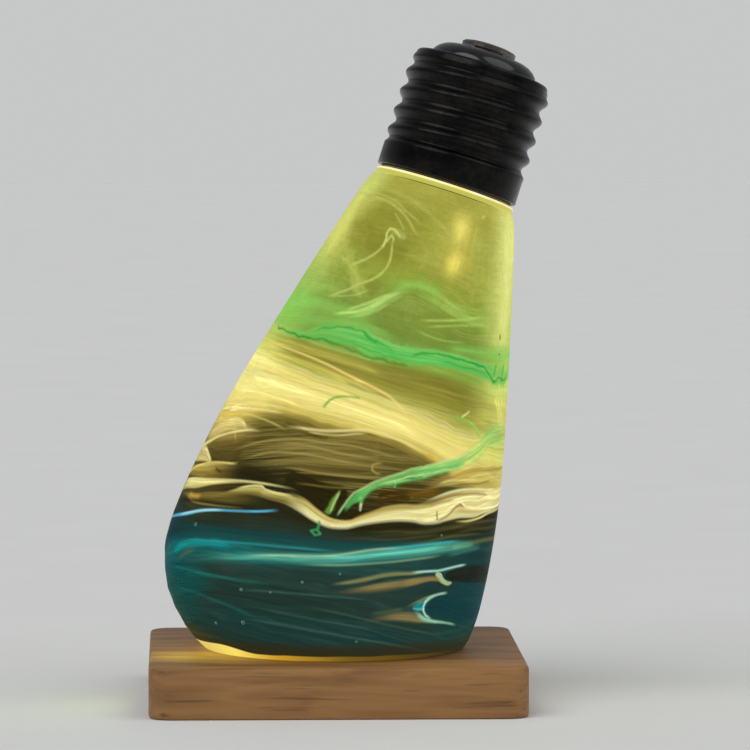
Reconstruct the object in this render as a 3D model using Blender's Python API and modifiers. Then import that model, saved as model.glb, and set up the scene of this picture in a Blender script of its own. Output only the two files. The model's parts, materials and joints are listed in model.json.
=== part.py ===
"""Leaning resin lamp: a cast resin bulb with a screw cap, standing on a small wooden board.

Metres, +Z up, origin at the centre of the board's underside. Everything but the board is drawn
in the frame of the empty lamp_axis: its origin is the centre of the neck rim, its +Z runs up the
leaning axis and out of the cap. Heights along that axis are called w in the comments.
"""

import math

import bmesh
import bpy

MM = 0.001
GAP = 0.3 * MM  # clearance between neighbouring pieces

# Board
BOARD_SIDE = 66.5 * MM
BOARD_THICK = 9.0 * MM
BOARD_CORNER = 4.0 * MM
BOARD_EDGE = 0.6 * MM

# How the lamp stands
LEAN_DEG = 18.5
LEAN_TOWARD_DEG = 15.4  # from +X towards +Y
RIM_CENTRE = (20.1 * MM, 4.6 * MM, BOARD_THICK + 82.5 * MM)

# Resin bulb: (radius, distance below the rim)
BULB_OUTLINE_MM = [
    (13.25, 1.4),
    (14.4, 4.5),
    (16.0, 10.0),
    (20.05, 25.0),
    (25.05, 45.0),
    (27.8, 60.0),
    (28.8, 73.0),
    (27.2, 80.5),
    (23.6, 86.3),
    (17.4, 91.2),
    (9.0, 93.8),
    (0.0, 94.6),
]
BULB_SPAN_POINTS = 2
BULB_STEPS = 48
POCKET_R = 10.6 * MM
POCKET_FLOOR = -5.5 * MM

# Edison screw thread, 7 turns to the inch, right-handed
PITCH = 25.4 / 7 * MM
THREAD_SWING = 0.5 * MM  # a crest stands this far above the mean radius, a root as far below it
THREAD_SAMPLES = 5  # rings of points in one pitch
THREAD_FADE = 1.2 * MM
THREAD_STEPS = 30
CREST_W = 7.97 * MM  # a crest's height on the side that faces -Y
FRONT_ANGLE = math.radians(-90.0 - LEAN_TOWARD_DEG)

# Cap shell
SHELL_WALL = 0.5 * MM
SHELL_MEAN_R = 12.6 * MM
SHELL_SKIRT_R = 12.95 * MM
SHELL_BOTTOM = 0.6 * MM
SHELL_SKIRT_TOP = 3.9 * MM
SHELL_THREAD = (4.7 * MM, 21.2 * MM)
SHELL_TOP = 22.6 * MM
SHELL_LIP_R = 10.3 * MM

# Neck
NECK_RING = (-1.1 * MM, 0.0)
NECK_RING_R = 12.95 * MM
FLANGE = (GAP, 1.7 * MM)
FLANGE_R = 12.1 * MM
PLUG_R = POCKET_R - GAP
PLUG_BOTTOM = -3.2 * MM
CARRIER_BORE_R = 10.3 * MM
CARRIER_TOP = 15.2 * MM
CARRIER_MEAN_R = SHELL_MEAN_R - SHELL_WALL - 0.5 * MM
CARRIER_THREAD = (5.0 * MM, CARRIER_TOP - 0.6 * MM)
WEB = (0.2 * MM, 1.8 * MM)
WEB_BORE_R = 8.9 * MM
LEDGE_W = 5.0 * MM

# Light, driver and cells
LED_BOARD_R = 8.6 * MM
LED_BOARD_TOP = WEB[0] - GAP
LED_BOARD_THICK = 1.0 * MM
LED_COUNT = 3
LED_RING_R = 3.6 * MM
LED_FIRST_DEG = 60.0
LED_SIZE = (3.5 * MM, 2.8 * MM, 0.7 * MM)
SCREW_RING_R = 6.6 * MM
SCREW_ANGLES_DEG = (90.0, 270.0)
SCREW_HOLE_R = 1.1 * MM
LEAD_RING_R = 6.6 * MM
LEAD_ANGLES_DEG = (20.0, -20.0)
LEAD_R = 0.45 * MM
LEAD_HOLE_R = 0.85 * MM
DRIVER_R = 10.0 * MM
DRIVER_THICK = 1.0 * MM
DRIVER_BOTTOM = LEDGE_W + GAP
CELL_R = 10.0 * MM
CELL_THICK = 3.2 * MM
CELL_BOTTOM = 8.9 * MM
STRIP_WIDTH = 2.6 * MM
STRIP_THICK = 0.3 * MM
STRIP_R = 10.45 * MM
STRIP_FOOT_R = 8.0 * MM
STRIP_SLOT_R = (9.0 * MM, 10.8 * MM)
SEAL_R = 11.8 * MM
SEAL_W = 3.0 * MM
SEAL_SECTION_R = 0.5 * MM

# Switch end of the cap
CORE = (16.8 * MM, 20.9 * MM)
CORE_R = 11.2 * MM
CORE_WELL_R = 8.6 * MM
SWITCH_BOARD_R = CORE_WELL_R - GAP
SWITCH_SIDE = 6.0 * MM
SWITCH = (19.4 * MM, 21.9 * MM)
PLUNGER_R = 1.6 * MM
INSULATOR_FLANGE = (21.2 * MM, 21.8 * MM)
INSULATOR_TOP = 25.1 * MM
BUTTON_TIP = 27.0 * MM
BUTTON_HEAD_R = 5.0 * MM
STEM_R = 2.6 * MM

SMOOTH_ANGLE = math.radians(35.0)
ROUNDING = 0.001 * MM  # mesh points hold 32-bit numbers


# ---------------------------------------------------------------- tools


def clear_scene():
    for obj in list(bpy.data.objects):
        bpy.data.objects.remove(obj, do_unlink=True)


def new_collection(name):
    made = bpy.data.collections.new(name)
    bpy.context.scene.collection.children.link(made)
    return made


def principled(name, colour, roughness, metallic=0.0, alpha=1.0):
    made = bpy.data.materials.new(name)
    made.use_nodes = True
    shader = made.node_tree.nodes["Principled BSDF"]
    shader.inputs["Base Color"].default_value = (*colour, 1.0)
    shader.inputs["Roughness"].default_value = roughness
    shader.inputs["Metallic"].default_value = metallic
    shader.inputs["Alpha"].default_value = alpha
    made.diffuse_color = (*colour, alpha)
    return made


def place(obj, material, parent=None):
    """Links the object with the parts, under the lamp's axis or in the world."""
    bpy.data.collections["resin_lamp"].objects.link(obj)
    obj.parent = parent
    if material:
        obj.data.materials.append(material)
    return obj


def shade(mesh):
    mesh.shade_smooth()
    mesh.set_sharp_from_angle(angle=SMOOTH_ANGLE)


def smooth_line(points, per_span):
    """A Catmull-Rom line through the points, with per_span steps between neighbours."""
    ends = [points[0], *points, points[-1]]
    line = []
    for before, start, end, after in zip(ends, ends[1:], ends[2:], ends[3:]):
        for step in range(per_span):
            t = step / per_span
            line.append(tuple(
                0.5 * (2 * b + (c - a) * t + (2 * a - 5 * b + 4 * c - d) * t * t
                       + (3 * b - a - 3 * c + d) * t ** 3)
                for a, b, c, d in zip(before, start, end, after)
            ))
    return [*line, points[-1]]


def arc(centre, radius, start_deg, end_deg, steps):
    """Points of an arc in the (radius, height) plane of a turned outline."""
    angles = [math.radians(start_deg + (end_deg - start_deg) * i / steps) for i in range(steps + 1)]
    return [(centre[0] + radius * math.cos(a), centre[1] + radius * math.sin(a)) for a in angles]


def turned(name, outline, material, parent, steps=THREAD_STEPS, closed=False):
    """A turned piece. The outline runs down its outer side, and is closed for a ring."""
    mesh = bpy.data.meshes.new(name)
    count = len(outline)
    edges = [(i, (i + 1) % count) for i in range(count if closed else count - 1)]
    mesh.from_pydata([(r, 0.0, w) for r, w in outline], edges, [])
    obj = place(bpy.data.objects.new(name, mesh), material, parent)
    screw = obj.modifiers.new("turn", "SCREW")
    screw.axis = "Z"
    screw.angle = 2 * math.pi
    screw.steps = screw.render_steps = steps
    screw.use_merge_vertices = True
    screw.merge_threshold = 1e-5
    screw.use_smooth_shade = True
    weld = obj.modifiers.new("weld_axis", "WELD")
    weld.merge_threshold = 1e-6
    return obj


def applied(obj):
    """Bakes the object's modifiers into its mesh, so that single points can be moved."""
    graph = bpy.context.evaluated_depsgraph_get()
    mesh = bpy.data.meshes.new_from_object(obj.evaluated_get(graph))
    obj.modifiers.clear()
    obj.data = mesh
    return obj


def thread_wave(w, angle, span, end_levels):
    """How far the threaded surface stands off its mean radius. It fades to the end levels, from
    -1 for a root to 1 for a crest, at the lower and upper ends of the span."""
    turns = (w - CREST_W) / PITCH - (angle - FRONT_ANGLE) / (2 * math.pi)
    low, high = span
    end_level = end_levels[0] if w - low < high - w else end_levels[1]
    share = min((w - low) / THREAD_FADE, (high - w) / THREAD_FADE, 1.0)
    return THREAD_SWING * (share * math.cos(2 * math.pi * turns) + (1 - share) * end_level)


def cut_thread(obj, span, inside_r, end_levels):
    """Moves the turned mesh's points in the span and outside inside_r onto the screw surface."""
    low, high = span
    for vertex in applied(obj).data.vertices:
        x, y, w = vertex.co
        radius = math.hypot(x, y)
        if radius > inside_r and low - ROUNDING < w < high + ROUNDING:
            scale = 1 + thread_wave(w, math.atan2(y, x), span, end_levels) / radius
            vertex.co = (x * scale, y * scale, w)
    return obj


def thread_heights(span):
    """Heights of the point rings of a threaded stretch, from its top to its bottom."""
    low, high = span
    count = math.ceil((high - low) / PITCH * THREAD_SAMPLES)
    return [high - (high - low) * i / count for i in range(count + 1)]


def block(name, size, centre, material, parent, edge=0.0, turn=0.0):
    mesh = bpy.data.meshes.new(name)
    shape = bmesh.new()
    bmesh.ops.create_cube(shape, size=1.0)
    bmesh.ops.scale(shape, vec=size, verts=shape.verts)
    shape.to_mesh(mesh)
    shape.free()
    obj = place(bpy.data.objects.new(name, mesh), material, parent)
    obj.location = centre
    obj.rotation_euler.z = turn
    if edge:
        bevel = obj.modifiers.new("edge", "BEVEL")
        bevel.width = edge
        bevel.segments = 2
    return obj


def cutter(obj):
    """Turns a piece into a cutter: out of the parts, into the cutters."""
    bpy.data.collections["resin_lamp"].objects.unlink(obj)
    bpy.data.collections["cutters"].objects.link(obj)
    obj.hide_render = True
    obj.display_type = "WIRE"
    return obj


def cylinder_cutter(name, radius, low, high, centre, parent, steps=16):
    outline = [(0.0, high), (radius, high), (radius, low), (0.0, low)]
    obj = cutter(turned(name, outline, None, parent, steps))
    obj.location = (*centre, 0.0)
    return obj


def cut(obj, tool, operation="DIFFERENCE"):
    boolean = obj.modifiers.new(tool.name, "BOOLEAN")
    boolean.operation = operation
    boolean.solver = "EXACT"
    boolean.object = tool


def polar(radius, degrees):
    return radius * math.cos(math.radians(degrees)), radius * math.sin(math.radians(degrees))


def wire(name, points, radius, material, parent):
    """A round wire along straight stretches between the points."""
    curve = bpy.data.curves.new(name, "CURVE")
    curve.dimensions = "3D"
    curve.bevel_depth = radius
    curve.bevel_resolution = 2
    curve.use_fill_caps = True
    line = curve.splines.new("POLY")
    line.points.add(len(points) - 1)
    for point, co in zip(line.points, points):
        point.co = (*co, 1.0)
    return place(bpy.data.objects.new(name, curve), material, parent)


# ---------------------------------------------------------------- board and bulb


def wooden_board():
    mesh = bpy.data.meshes.new("wooden_board")
    shape = bmesh.new()
    bmesh.ops.create_cube(shape, size=1.0)
    bmesh.ops.scale(shape, vec=(BOARD_SIDE, BOARD_SIDE, BOARD_THICK), verts=shape.verts)
    bmesh.ops.translate(shape, vec=(0.0, 0.0, BOARD_THICK / 2), verts=shape.verts)
    upright = [e for e in shape.edges if abs(e.verts[0].co.z - e.verts[1].co.z) > BOARD_THICK / 2]
    bmesh.ops.bevel(shape, geom=upright, offset=BOARD_CORNER, segments=6, profile=0.5,
                    affect="EDGES")
    shape.to_mesh(mesh)
    shape.free()
    wood = principled("board_wood", (0.42, 0.23, 0.10), 0.55)
    obj = place(bpy.data.objects.new("wooden_board", mesh), wood)
    bevel = obj.modifiers.new("eased_edge", "BEVEL")
    bevel.width = BOARD_EDGE
    bevel.segments = 2
    bevel.limit_method = "ANGLE"
    bevel.angle_limit = math.radians(50.0)
    shade(mesh)
    return obj


def resin_body(axis):
    """The cast bulb: a pocket in its neck, and a level foot cut across its rounded bottom."""
    outside = smooth_line([(r * MM, -below * MM) for r, below in BULB_OUTLINE_MM],
                          BULB_SPAN_POINTS)
    top = outside[0][1]
    outline = [(0.0, POCKET_FLOOR), (POCKET_R, POCKET_FLOOR), (POCKET_R, top), *outside]
    resin = principled("cast_resin", (0.45, 0.50, 0.18), 0.08, alpha=0.85)
    obj = turned("resin_body", outline, resin, axis, BULB_STEPS)
    size = 2 * BOARD_SIDE
    floor = cutter(block("foot_cutter", (size, size, size), (0, 0, 0), None, None))
    floor.location.z = BOARD_THICK + GAP - size / 2
    cut(obj, floor)
    return obj


# ---------------------------------------------------------------- neck


def neck_ring(axis):
    low, high = NECK_RING
    inside, round_r = PLUG_R + GAP, (high - low) / 2
    lip = arc((NECK_RING_R - round_r, (low + high) / 2), round_r, 90, -90, 4)
    clear = principled("clear_silicone", (0.85, 0.78, 0.50), 0.25, alpha=0.9)
    return turned("neck_ring", [(inside, high), *lip, (inside, low)], clear, axis, 36, True)


def thread_carrier(axis):
    """Moulded tube glued into the neck: cell bore, ledge, web with holes, thread outside."""
    groove_r, shoulder = 11.0 * MM, 4.4 * MM
    root_r = CARRIER_MEAN_R - THREAD_SWING
    outline = [(CARRIER_BORE_R, CARRIER_TOP), (root_r, CARRIER_TOP)]
    outline += [(CARRIER_MEAN_R, w) for w in thread_heights(CARRIER_THREAD)]
    outline += [
        (root_r, shoulder), (groove_r, shoulder), (groove_r, FLANGE[1]),
        (FLANGE_R, FLANGE[1]), (FLANGE_R, FLANGE[0]), (PLUG_R, FLANGE[0]), (PLUG_R, PLUG_BOTTOM),
        (WEB_BORE_R, PLUG_BOTTOM), (WEB_BORE_R, WEB[0]), (0.0, WEB[0]),
    ]
    outline = [
        (0.0, WEB[1]), (WEB_BORE_R, WEB[1]), (WEB_BORE_R, LEDGE_W), (CARRIER_BORE_R, LEDGE_W),
        *outline,
    ]
    black = principled("carrier_plastic", (0.03, 0.03, 0.035), 0.5)
    obj = turned("thread_carrier", outline, black, axis)
    cut_thread(obj, CARRIER_THREAD, CARRIER_BORE_R + 0.2 * MM, (-1.0, -1.0))
    for number, degrees in enumerate(SCREW_ANGLES_DEG, 1):
        spot = polar(SCREW_RING_R, degrees)
        name = f"web_screw_cutter_{number}"
        cut(obj, cylinder_cutter(name, SCREW_HOLE_R, -1 * MM, 3 * MM, spot, axis))
    for number, degrees in enumerate(LEAD_ANGLES_DEG, 1):
        spot = polar(LEAD_RING_R, degrees)
        name = f"web_lead_cutter_{number}"
        cut(obj, cylinder_cutter(name, LEAD_HOLE_R, -1 * MM, 3 * MM, spot, axis))
    slot_low, slot_high = DRIVER_BOTTOM + DRIVER_THICK, CARRIER_TOP + 1 * MM
    slot_in, slot_out = STRIP_SLOT_R
    slot_size = (slot_out - slot_in, STRIP_WIDTH + 2 * GAP, slot_high - slot_low)
    slot_centre = (-(slot_in + slot_out) / 2, 0.0, (slot_low + slot_high) / 2)
    cut(obj, cutter(block("strip_slot_cutter", slot_size, slot_centre, None, axis)))
    return obj


def cap_seal(axis):
    rubber = principled("seal_rubber", (0.02, 0.02, 0.02), 0.7)
    outline = arc((SEAL_R, SEAL_W), SEAL_SECTION_R, 90, -270, 8)[:-1]
    return turned("cap_seal", outline, rubber, axis, closed=True)


def return_strip(axis):
    """Brass strip from the driver board up the cell bore to the cap: one bend, even thickness."""
    foot = DRIVER_BOTTOM + DRIVER_THICK + GAP
    line = [(-STRIP_FOOT_R, foot), (-STRIP_R, foot), (-STRIP_R, CARRIER_TOP + 0.4 * MM)]
    half = STRIP_WIDTH / 2
    points = [(x, side, w) for x, w in line for side in (-half, half)]
    mesh = bpy.data.meshes.new("return_strip")
    mesh.from_pydata(points, [], [(0, 1, 3, 2), (2, 3, 5, 4)])
    brass = principled("strip_brass", (0.80, 0.60, 0.25), 0.3, 1.0)
    obj = place(bpy.data.objects.new("return_strip", mesh), brass, axis)
    solid = obj.modifiers.new("thickness", "SOLIDIFY")
    solid.thickness = STRIP_THICK
    solid.offset = 0.0
    solid.use_even_offset = True
    return obj


# ---------------------------------------------------------------- light


def led_window(axis):
    rim_r, seat, floor, dome = PLUG_R - 0.1 * MM, -3.5 * MM, -5.2 * MM, 0.7 * MM
    inner = WEB_BORE_R - GAP
    crown = [(inner * i / 5, seat + dome * (1 - (i / 5) ** 2)) for i in range(6)]
    clear = principled("window_acrylic", (0.95, 0.93, 0.85), 0.1, alpha=0.6)
    outline = [*crown, (rim_r, seat), (rim_r, floor), (0.0, floor)]
    return turned("led_window", outline, clear, axis)


def led_board(axis):
    low = LED_BOARD_TOP - LED_BOARD_THICK
    outline = [(0.0, LED_BOARD_TOP), (LED_BOARD_R, LED_BOARD_TOP), (LED_BOARD_R, low), (0.0, low)]
    white = principled("led_board_white", (0.85, 0.85, 0.82), 0.4)
    obj = turned("led_board", outline, white, axis)
    holes = [(SCREW_RING_R, a, SCREW_HOLE_R) for a in SCREW_ANGLES_DEG]
    holes += [(LEAD_RING_R, a, LEAD_HOLE_R) for a in LEAD_ANGLES_DEG]
    for number, (ring, degrees, radius) in enumerate(holes, 1):
        name = f"led_board_cutter_{number}"
        cut(obj, cylinder_cutter(name, radius, -2 * MM, 1 * MM, polar(ring, degrees), axis))
    return obj


def leds(axis):
    amber = principled("led_phosphor", (1.0, 0.82, 0.35), 0.4)
    height = LED_BOARD_TOP - LED_BOARD_THICK - GAP - LED_SIZE[2] / 2
    for number in range(LED_COUNT):
        degrees = LED_FIRST_DEG + 360.0 * number / LED_COUNT
        x, y = polar(LED_RING_R, degrees)
        block(f"led_{number + 1}", LED_SIZE, (x, y, height), amber, axis, 0.12 * MM,
              math.radians(degrees + 90.0))


def led_screws(axis):
    """Pan-head screws that hold the light board against the carrier's web."""
    steel = principled("screw_steel", (0.65, 0.65, 0.67), 0.3, 1.0)
    seat = LED_BOARD_TOP - LED_BOARD_THICK - GAP
    head_r, head, shank_r, tip = 1.6 * MM, 0.9 * MM, 0.8 * MM, WEB[1] - 0.1 * MM
    outline = [
        (0.0, tip), (shank_r * 0.6, tip), (shank_r, tip - 0.4 * MM), (shank_r, seat),
        (head_r, seat), (head_r, seat - 0.5 * head), (head_r * 0.7, seat - head),
        (0.0, seat - head),
    ]
    for number, degrees in enumerate(SCREW_ANGLES_DEG, 1):
        obj = turned(f"led_screw_{number}", outline, steel, axis, 16)
        obj.location = (*polar(SCREW_RING_R, degrees), 0.0)


def driver_board(axis):
    top, low = DRIVER_BOTTOM + DRIVER_THICK, DRIVER_BOTTOM
    green = principled("board_green", (0.05, 0.25, 0.10), 0.4)
    outline = [(0.0, top), (DRIVER_R, top), (DRIVER_R, low), (0.0, low)]
    return turned("driver_board", outline, green, axis)


def driver_parts(axis):
    """Driver chip and coil, hanging from the driver board's lower face."""
    under = DRIVER_BOTTOM - GAP
    black = principled("chip_black", (0.03, 0.03, 0.03), 0.35)
    chip_size = (4.9 * MM, 3.9 * MM, 1.2 * MM)
    chip_centre = (-3.6 * MM, -2.6 * MM, under - chip_size[2] / 2)
    block("driver_chip", chip_size, chip_centre, black, axis, 0.1 * MM)
    ferrite = principled("coil_ferrite", (0.12, 0.12, 0.13), 0.6)
    tall, drum_r, waist_r = 2.4 * MM, 2.5 * MM, 1.9 * MM
    flange = 0.5 * MM
    outline = [
        (0.0, under), (drum_r, under), (drum_r, under - flange), (waist_r, under - flange),
        (waist_r, under - tall + flange), (drum_r, under - tall + flange), (drum_r, under - tall),
        (0.0, under - tall),
    ]
    coil = turned("driver_coil", outline, ferrite, axis, 20)
    coil.location = (-1.0 * MM, 4.4 * MM, 0.0)


def leads(axis):
    """Two insulated leads from the light board, through the web, to the driver board."""
    low, high = LED_BOARD_TOP - LED_BOARD_THICK - 0.2 * MM, DRIVER_BOTTOM - GAP
    colours = {"red_lead": (0.6, 0.02, 0.02), "black_lead": (0.02, 0.02, 0.02)}
    bend = 1.1 * MM
    for (name, colour), degrees in zip(colours.items(), LEAD_ANGLES_DEG):
        x, y = polar(LEAD_RING_R, degrees)
        steps = 8
        straight = WEB[1] + 0.2 * MM
        path = [(x, y, low), (x, y, straight)]
        for i in range(1, steps + 1):
            t = i / steps
            path.append((x - bend * (1 - math.cos(math.pi * t)) / 2, y,
                         straight + (high - straight) * t))
        wire(name, path, LEAD_R, principled(name + "_pvc", colour, 0.4), axis)


def cell_spring(axis):
    """Conical contact spring on the driver board, under the first cell."""
    turns, per_turn, wire_r = 2.5, 14, 0.28 * MM
    low = DRIVER_BOTTOM + DRIVER_THICK + GAP + wire_r
    high = CELL_BOTTOM - GAP - wire_r
    wide, narrow = 4.2 * MM, 2.0 * MM
    count = int(turns * per_turn)
    path = []
    for i in range(count + 1):
        t = i / count
        x, y = polar(wide + (narrow - wide) * t, 360.0 * turns * t)
        path.append((x, y, low + (high - low) * t))
    steel = principled("spring_steel", (0.70, 0.68, 0.62), 0.25, 1.0)
    return wire("cell_spring", path, wire_r, steel, axis)


def coin_cells(axis):
    steel = principled("cell_steel", (0.72, 0.72, 0.72), 0.25, 1.0)
    step_r, step = 8.9 * MM, 0.35 * MM
    for number in range(2):
        low = CELL_BOTTOM + number * (CELL_THICK + GAP)
        high = low + CELL_THICK
        edge = 0.3 * MM
        outline = [
            (0.0, high), (CELL_R - edge, high), (CELL_R, high - edge),
            (CELL_R, low + step), (step_r, low + step), (step_r, low), (0.0, low),
        ]
        turned(f"coin_cell_{number + 1}", outline, steel, axis, 32)


# ---------------------------------------------------------------- cap


def cap_shell(axis):
    """Rolled metal shell: the same screw surface outside and inside, a lip over the insulator."""
    lip_low = SHELL_TOP - SHELL_WALL
    corner = 0.8 * MM
    side_r = SHELL_MEAN_R - 0.3 * MM
    heights = thread_heights(SHELL_THREAD)
    outside = [(SHELL_LIP_R, SHELL_TOP)]
    outside += arc((side_r - corner, SHELL_TOP - corner), corner, 90, 0, 4)
    outside += [(SHELL_MEAN_R, w) for w in heights]
    outside += [(SHELL_SKIRT_R, SHELL_SKIRT_TOP), (SHELL_SKIRT_R, SHELL_BOTTOM)]
    inside = [(SHELL_SKIRT_R - SHELL_WALL, SHELL_BOTTOM), (SHELL_SKIRT_R - SHELL_WALL, SHELL_SKIRT_TOP)]
    inside += [(SHELL_MEAN_R - SHELL_WALL, w) for w in reversed(heights)]
    inside += arc((side_r - corner, SHELL_TOP - corner), corner - SHELL_WALL, 0, 90, 2)
    inside += [(SHELL_LIP_R, lip_low)]
    black = principled("black_plating", (0.035, 0.034, 0.033), 0.28, 0.9)
    obj = turned("cap_shell", outside + inside, black, axis, closed=True)
    flare = (SHELL_SKIRT_R - SHELL_MEAN_R) / THREAD_SWING
    return cut_thread(obj, SHELL_THREAD, 0.0, (flare, 0.0))


def cap_core(axis):
    low, high = CORE
    floor, hole_r = low + 1.0 * MM, 1.5 * MM
    outline = [(CORE_WELL_R, high), (CORE_R, high), (CORE_R, low), (hole_r, low), (hole_r, floor),
               (CORE_WELL_R, floor)]
    grey = principled("core_plastic", (0.10, 0.10, 0.11), 0.55)
    return turned("cap_core", outline, grey, axis, closed=True)


def cap_contact(axis):
    """Thin brass disc under the core, dished in the middle to meet the cell."""
    thick, reach, rise = 0.3 * MM, 11.0 * MM, 0.25 * MM
    low = CORE[0] - GAP - thick
    dish_r, flat_r = 3.0 * MM, 4.5 * MM
    levels = [(0.0, low - rise), (dish_r, low - rise), (flat_r, low), (reach, low)]
    top = [(r, w + thick) for r, w in levels]
    brass = principled("contact_brass", (0.80, 0.60, 0.25), 0.3, 1.0)
    return turned("cap_contact", top + levels[::-1], brass, axis)


def switch_board(axis):
    low = CORE[0] + 1.0 * MM + GAP
    high = low + 1.0 * MM
    green = principled("switch_board_green", (0.05, 0.25, 0.10), 0.4)
    outline = [(0.0, high), (SWITCH_BOARD_R, high), (SWITCH_BOARD_R, low), (0.0, low)]
    return turned("switch_board", outline, green, axis)


def tact_switch(axis):
    low, high = SWITCH
    black = principled("switch_black", (0.03, 0.03, 0.03), 0.4)
    obj = block("tact_switch", (SWITCH_SIDE, SWITCH_SIDE, high - low),
                (0.0, 0.0, (low + high) / 2), black, axis)
    well = cylinder_cutter("plunger_well_cutter", PLUNGER_R + GAP, low + 1.2 * MM, high + 1 * MM,
                           (0.0, 0.0), axis)
    cut(obj, well)
    return obj


def switch_plunger(axis):
    low, high = SWITCH[1] - 0.5 * MM, SWITCH[1] + 0.9 * MM
    edge = 0.2 * MM
    white = principled("plunger_nylon", (0.8, 0.8, 0.78), 0.4)
    outline = [(0.0, high), (PLUNGER_R - edge, high), (PLUNGER_R, high - edge), (PLUNGER_R, low),
               (0.0, low)]
    return turned("switch_plunger", outline, white, axis, 20)


def cap_insulator(axis):
    """Black cone that closes the shell: held by its flange, bored for the button's stem."""
    flange_low, flange_high = INSULATOR_FLANGE
    hole_r, well_r, roof = STEM_R + GAP, 5.2 * MM, 24.2 * MM
    dome_r = 4.0 * MM
    side = arc((SHELL_LIP_R - GAP - dome_r, flange_high), dome_r, 75, 0, 5)
    rise = (INSULATOR_TOP - flange_high) / (side[0][1] - flange_high)
    side = [(r, flange_high + (w - flange_high) * rise) for r, w in side]
    outline = [(hole_r, INSULATOR_TOP), *side, (CORE_R, flange_high), (CORE_R, flange_low),
               (well_r, flange_low), (well_r, roof), (hole_r, roof)]
    black = principled("insulator_black", (0.015, 0.015, 0.017), 0.15)
    return turned("cap_insulator", outline, black, axis, closed=True)


def centre_button(axis):
    """The centre contact, which is the push button: head, stem and the flange that keeps it in."""
    head_low = INSULATOR_TOP + 0.6 * MM
    crown = BUTTON_TIP - head_low
    head = [(BUTTON_HEAD_R * math.sin(a), head_low + 0.4 * crown + 0.6 * crown * math.cos(a))
            for a in (math.radians(22.5 * i) for i in range(5))]
    flange_r, flange_low, flange_high = 4.0 * MM, 23.1 * MM, 23.9 * MM
    outline = [*head, (BUTTON_HEAD_R, head_low), (STEM_R, head_low), (STEM_R, flange_high),
               (flange_r, flange_high), (flange_r, flange_low), (0.0, flange_low)]
    metal = principled("button_metal", (0.30, 0.28, 0.25), 0.3, 1.0)
    return turned("centre_button", outline, metal, axis)


# ---------------------------------------------------------------- assembly


def lamp_axis():
    axis = bpy.data.objects.new("lamp_axis", None)
    bpy.data.collections["resin_lamp"].objects.link(axis)
    axis.location = RIM_CENTRE
    axis.rotation_euler = (0.0, math.radians(LEAN_DEG), math.radians(LEAN_TOWARD_DEG))
    return axis


def build():
    clear_scene()
    new_collection("resin_lamp")
    new_collection("cutters")
    wooden_board()
    axis = lamp_axis()
    bpy.context.view_layer.update()
    for make in (
        resin_body, neck_ring, thread_carrier, cap_seal, return_strip,
        led_window, led_board, leds, led_screws, driver_board, driver_parts, leads, cell_spring,
        coin_cells,
        cap_shell, cap_core, cap_contact, switch_board, tact_switch, switch_plunger,
        cap_insulator, centre_button,
    ):
        make(axis)


build()
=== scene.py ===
"""Looks of the leaning resin lamp: a lit casting with swirled pigments, its black screw cap and board.

The drawing of the pigments uses two numbers for a place on the bulb: across, how far to the side of
the axis the camera sees it, as a share of the bulb's radius there (-1 left, 1 right), and below, the
distance under the neck's rim along the axis, in millimetres.
"""

import json
import math

import bmesh
import bpy
import numpy as np
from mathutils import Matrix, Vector


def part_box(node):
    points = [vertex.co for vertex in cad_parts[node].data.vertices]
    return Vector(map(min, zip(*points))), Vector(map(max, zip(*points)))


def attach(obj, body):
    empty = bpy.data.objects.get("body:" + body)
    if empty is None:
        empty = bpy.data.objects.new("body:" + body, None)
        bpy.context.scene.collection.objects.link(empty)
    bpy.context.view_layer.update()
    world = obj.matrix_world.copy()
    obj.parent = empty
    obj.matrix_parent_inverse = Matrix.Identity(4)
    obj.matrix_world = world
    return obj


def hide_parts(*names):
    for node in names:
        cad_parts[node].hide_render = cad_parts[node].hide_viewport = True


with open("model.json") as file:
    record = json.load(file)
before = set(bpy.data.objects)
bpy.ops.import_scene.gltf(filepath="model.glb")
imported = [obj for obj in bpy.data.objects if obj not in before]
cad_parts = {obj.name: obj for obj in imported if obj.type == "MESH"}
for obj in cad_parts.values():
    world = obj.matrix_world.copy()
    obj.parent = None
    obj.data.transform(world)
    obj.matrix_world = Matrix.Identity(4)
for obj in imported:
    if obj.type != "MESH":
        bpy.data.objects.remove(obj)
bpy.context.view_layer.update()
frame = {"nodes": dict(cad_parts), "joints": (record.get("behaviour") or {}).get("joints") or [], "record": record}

MM = 0.001
JOINTS = {joint["name"]: joint for joint in frame["joints"]}


# ---------------------------------------------------------------- the lamp's own axes


def points_of(node):
    mesh = frame["nodes"][node].data
    found = np.zeros(len(mesh.vertices) * 3)
    mesh.vertices.foreach_get("co", found)
    return found.reshape(-1, 3)


UP = Vector(JOINTS["cap_turn"]["axis"]).normalized()
FRONT = (Vector((0, -1, 0)) - UP * Vector((0, -1, 0)).dot(UP)).normalized()
RIGHT = UP.cross(FRONT)
ON_AXIS = Vector(JOINTS["cap_turn"]["pos_m"])
RIM = ON_AXIS + UP * float((points_of("neck_ring") @ np.array(UP)).max() - ON_AXIS.dot(UP))
PITCH = 2 * math.pi / abs(frame["record"]["behaviour"]["couplings"][0]["ratio"])
BOARD_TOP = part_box("wooden_board")[1].z
FOOT_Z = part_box("resin_body")[0].z


def lamp_coordinates(points):
    """(radius, angle from the front, distance below the rim) of points in the row frame, metres."""
    offset = np.asarray(points) - np.array(RIM)
    front, right = offset @ np.array(FRONT), offset @ np.array(RIGHT)
    return np.hypot(front, right), np.arctan2(right, front), -(offset @ np.array(UP))


def lamp_points(radius, angle, below):
    """The reverse of lamp_coordinates, on arrays."""
    radius, angle, below = np.broadcast_arrays(radius, angle, below)
    return (np.array(RIM) - below[..., None] * np.array(UP)
            + (radius * np.cos(angle))[..., None] * np.array(FRONT)
            + (radius * np.sin(angle))[..., None] * np.array(RIGHT))


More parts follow.
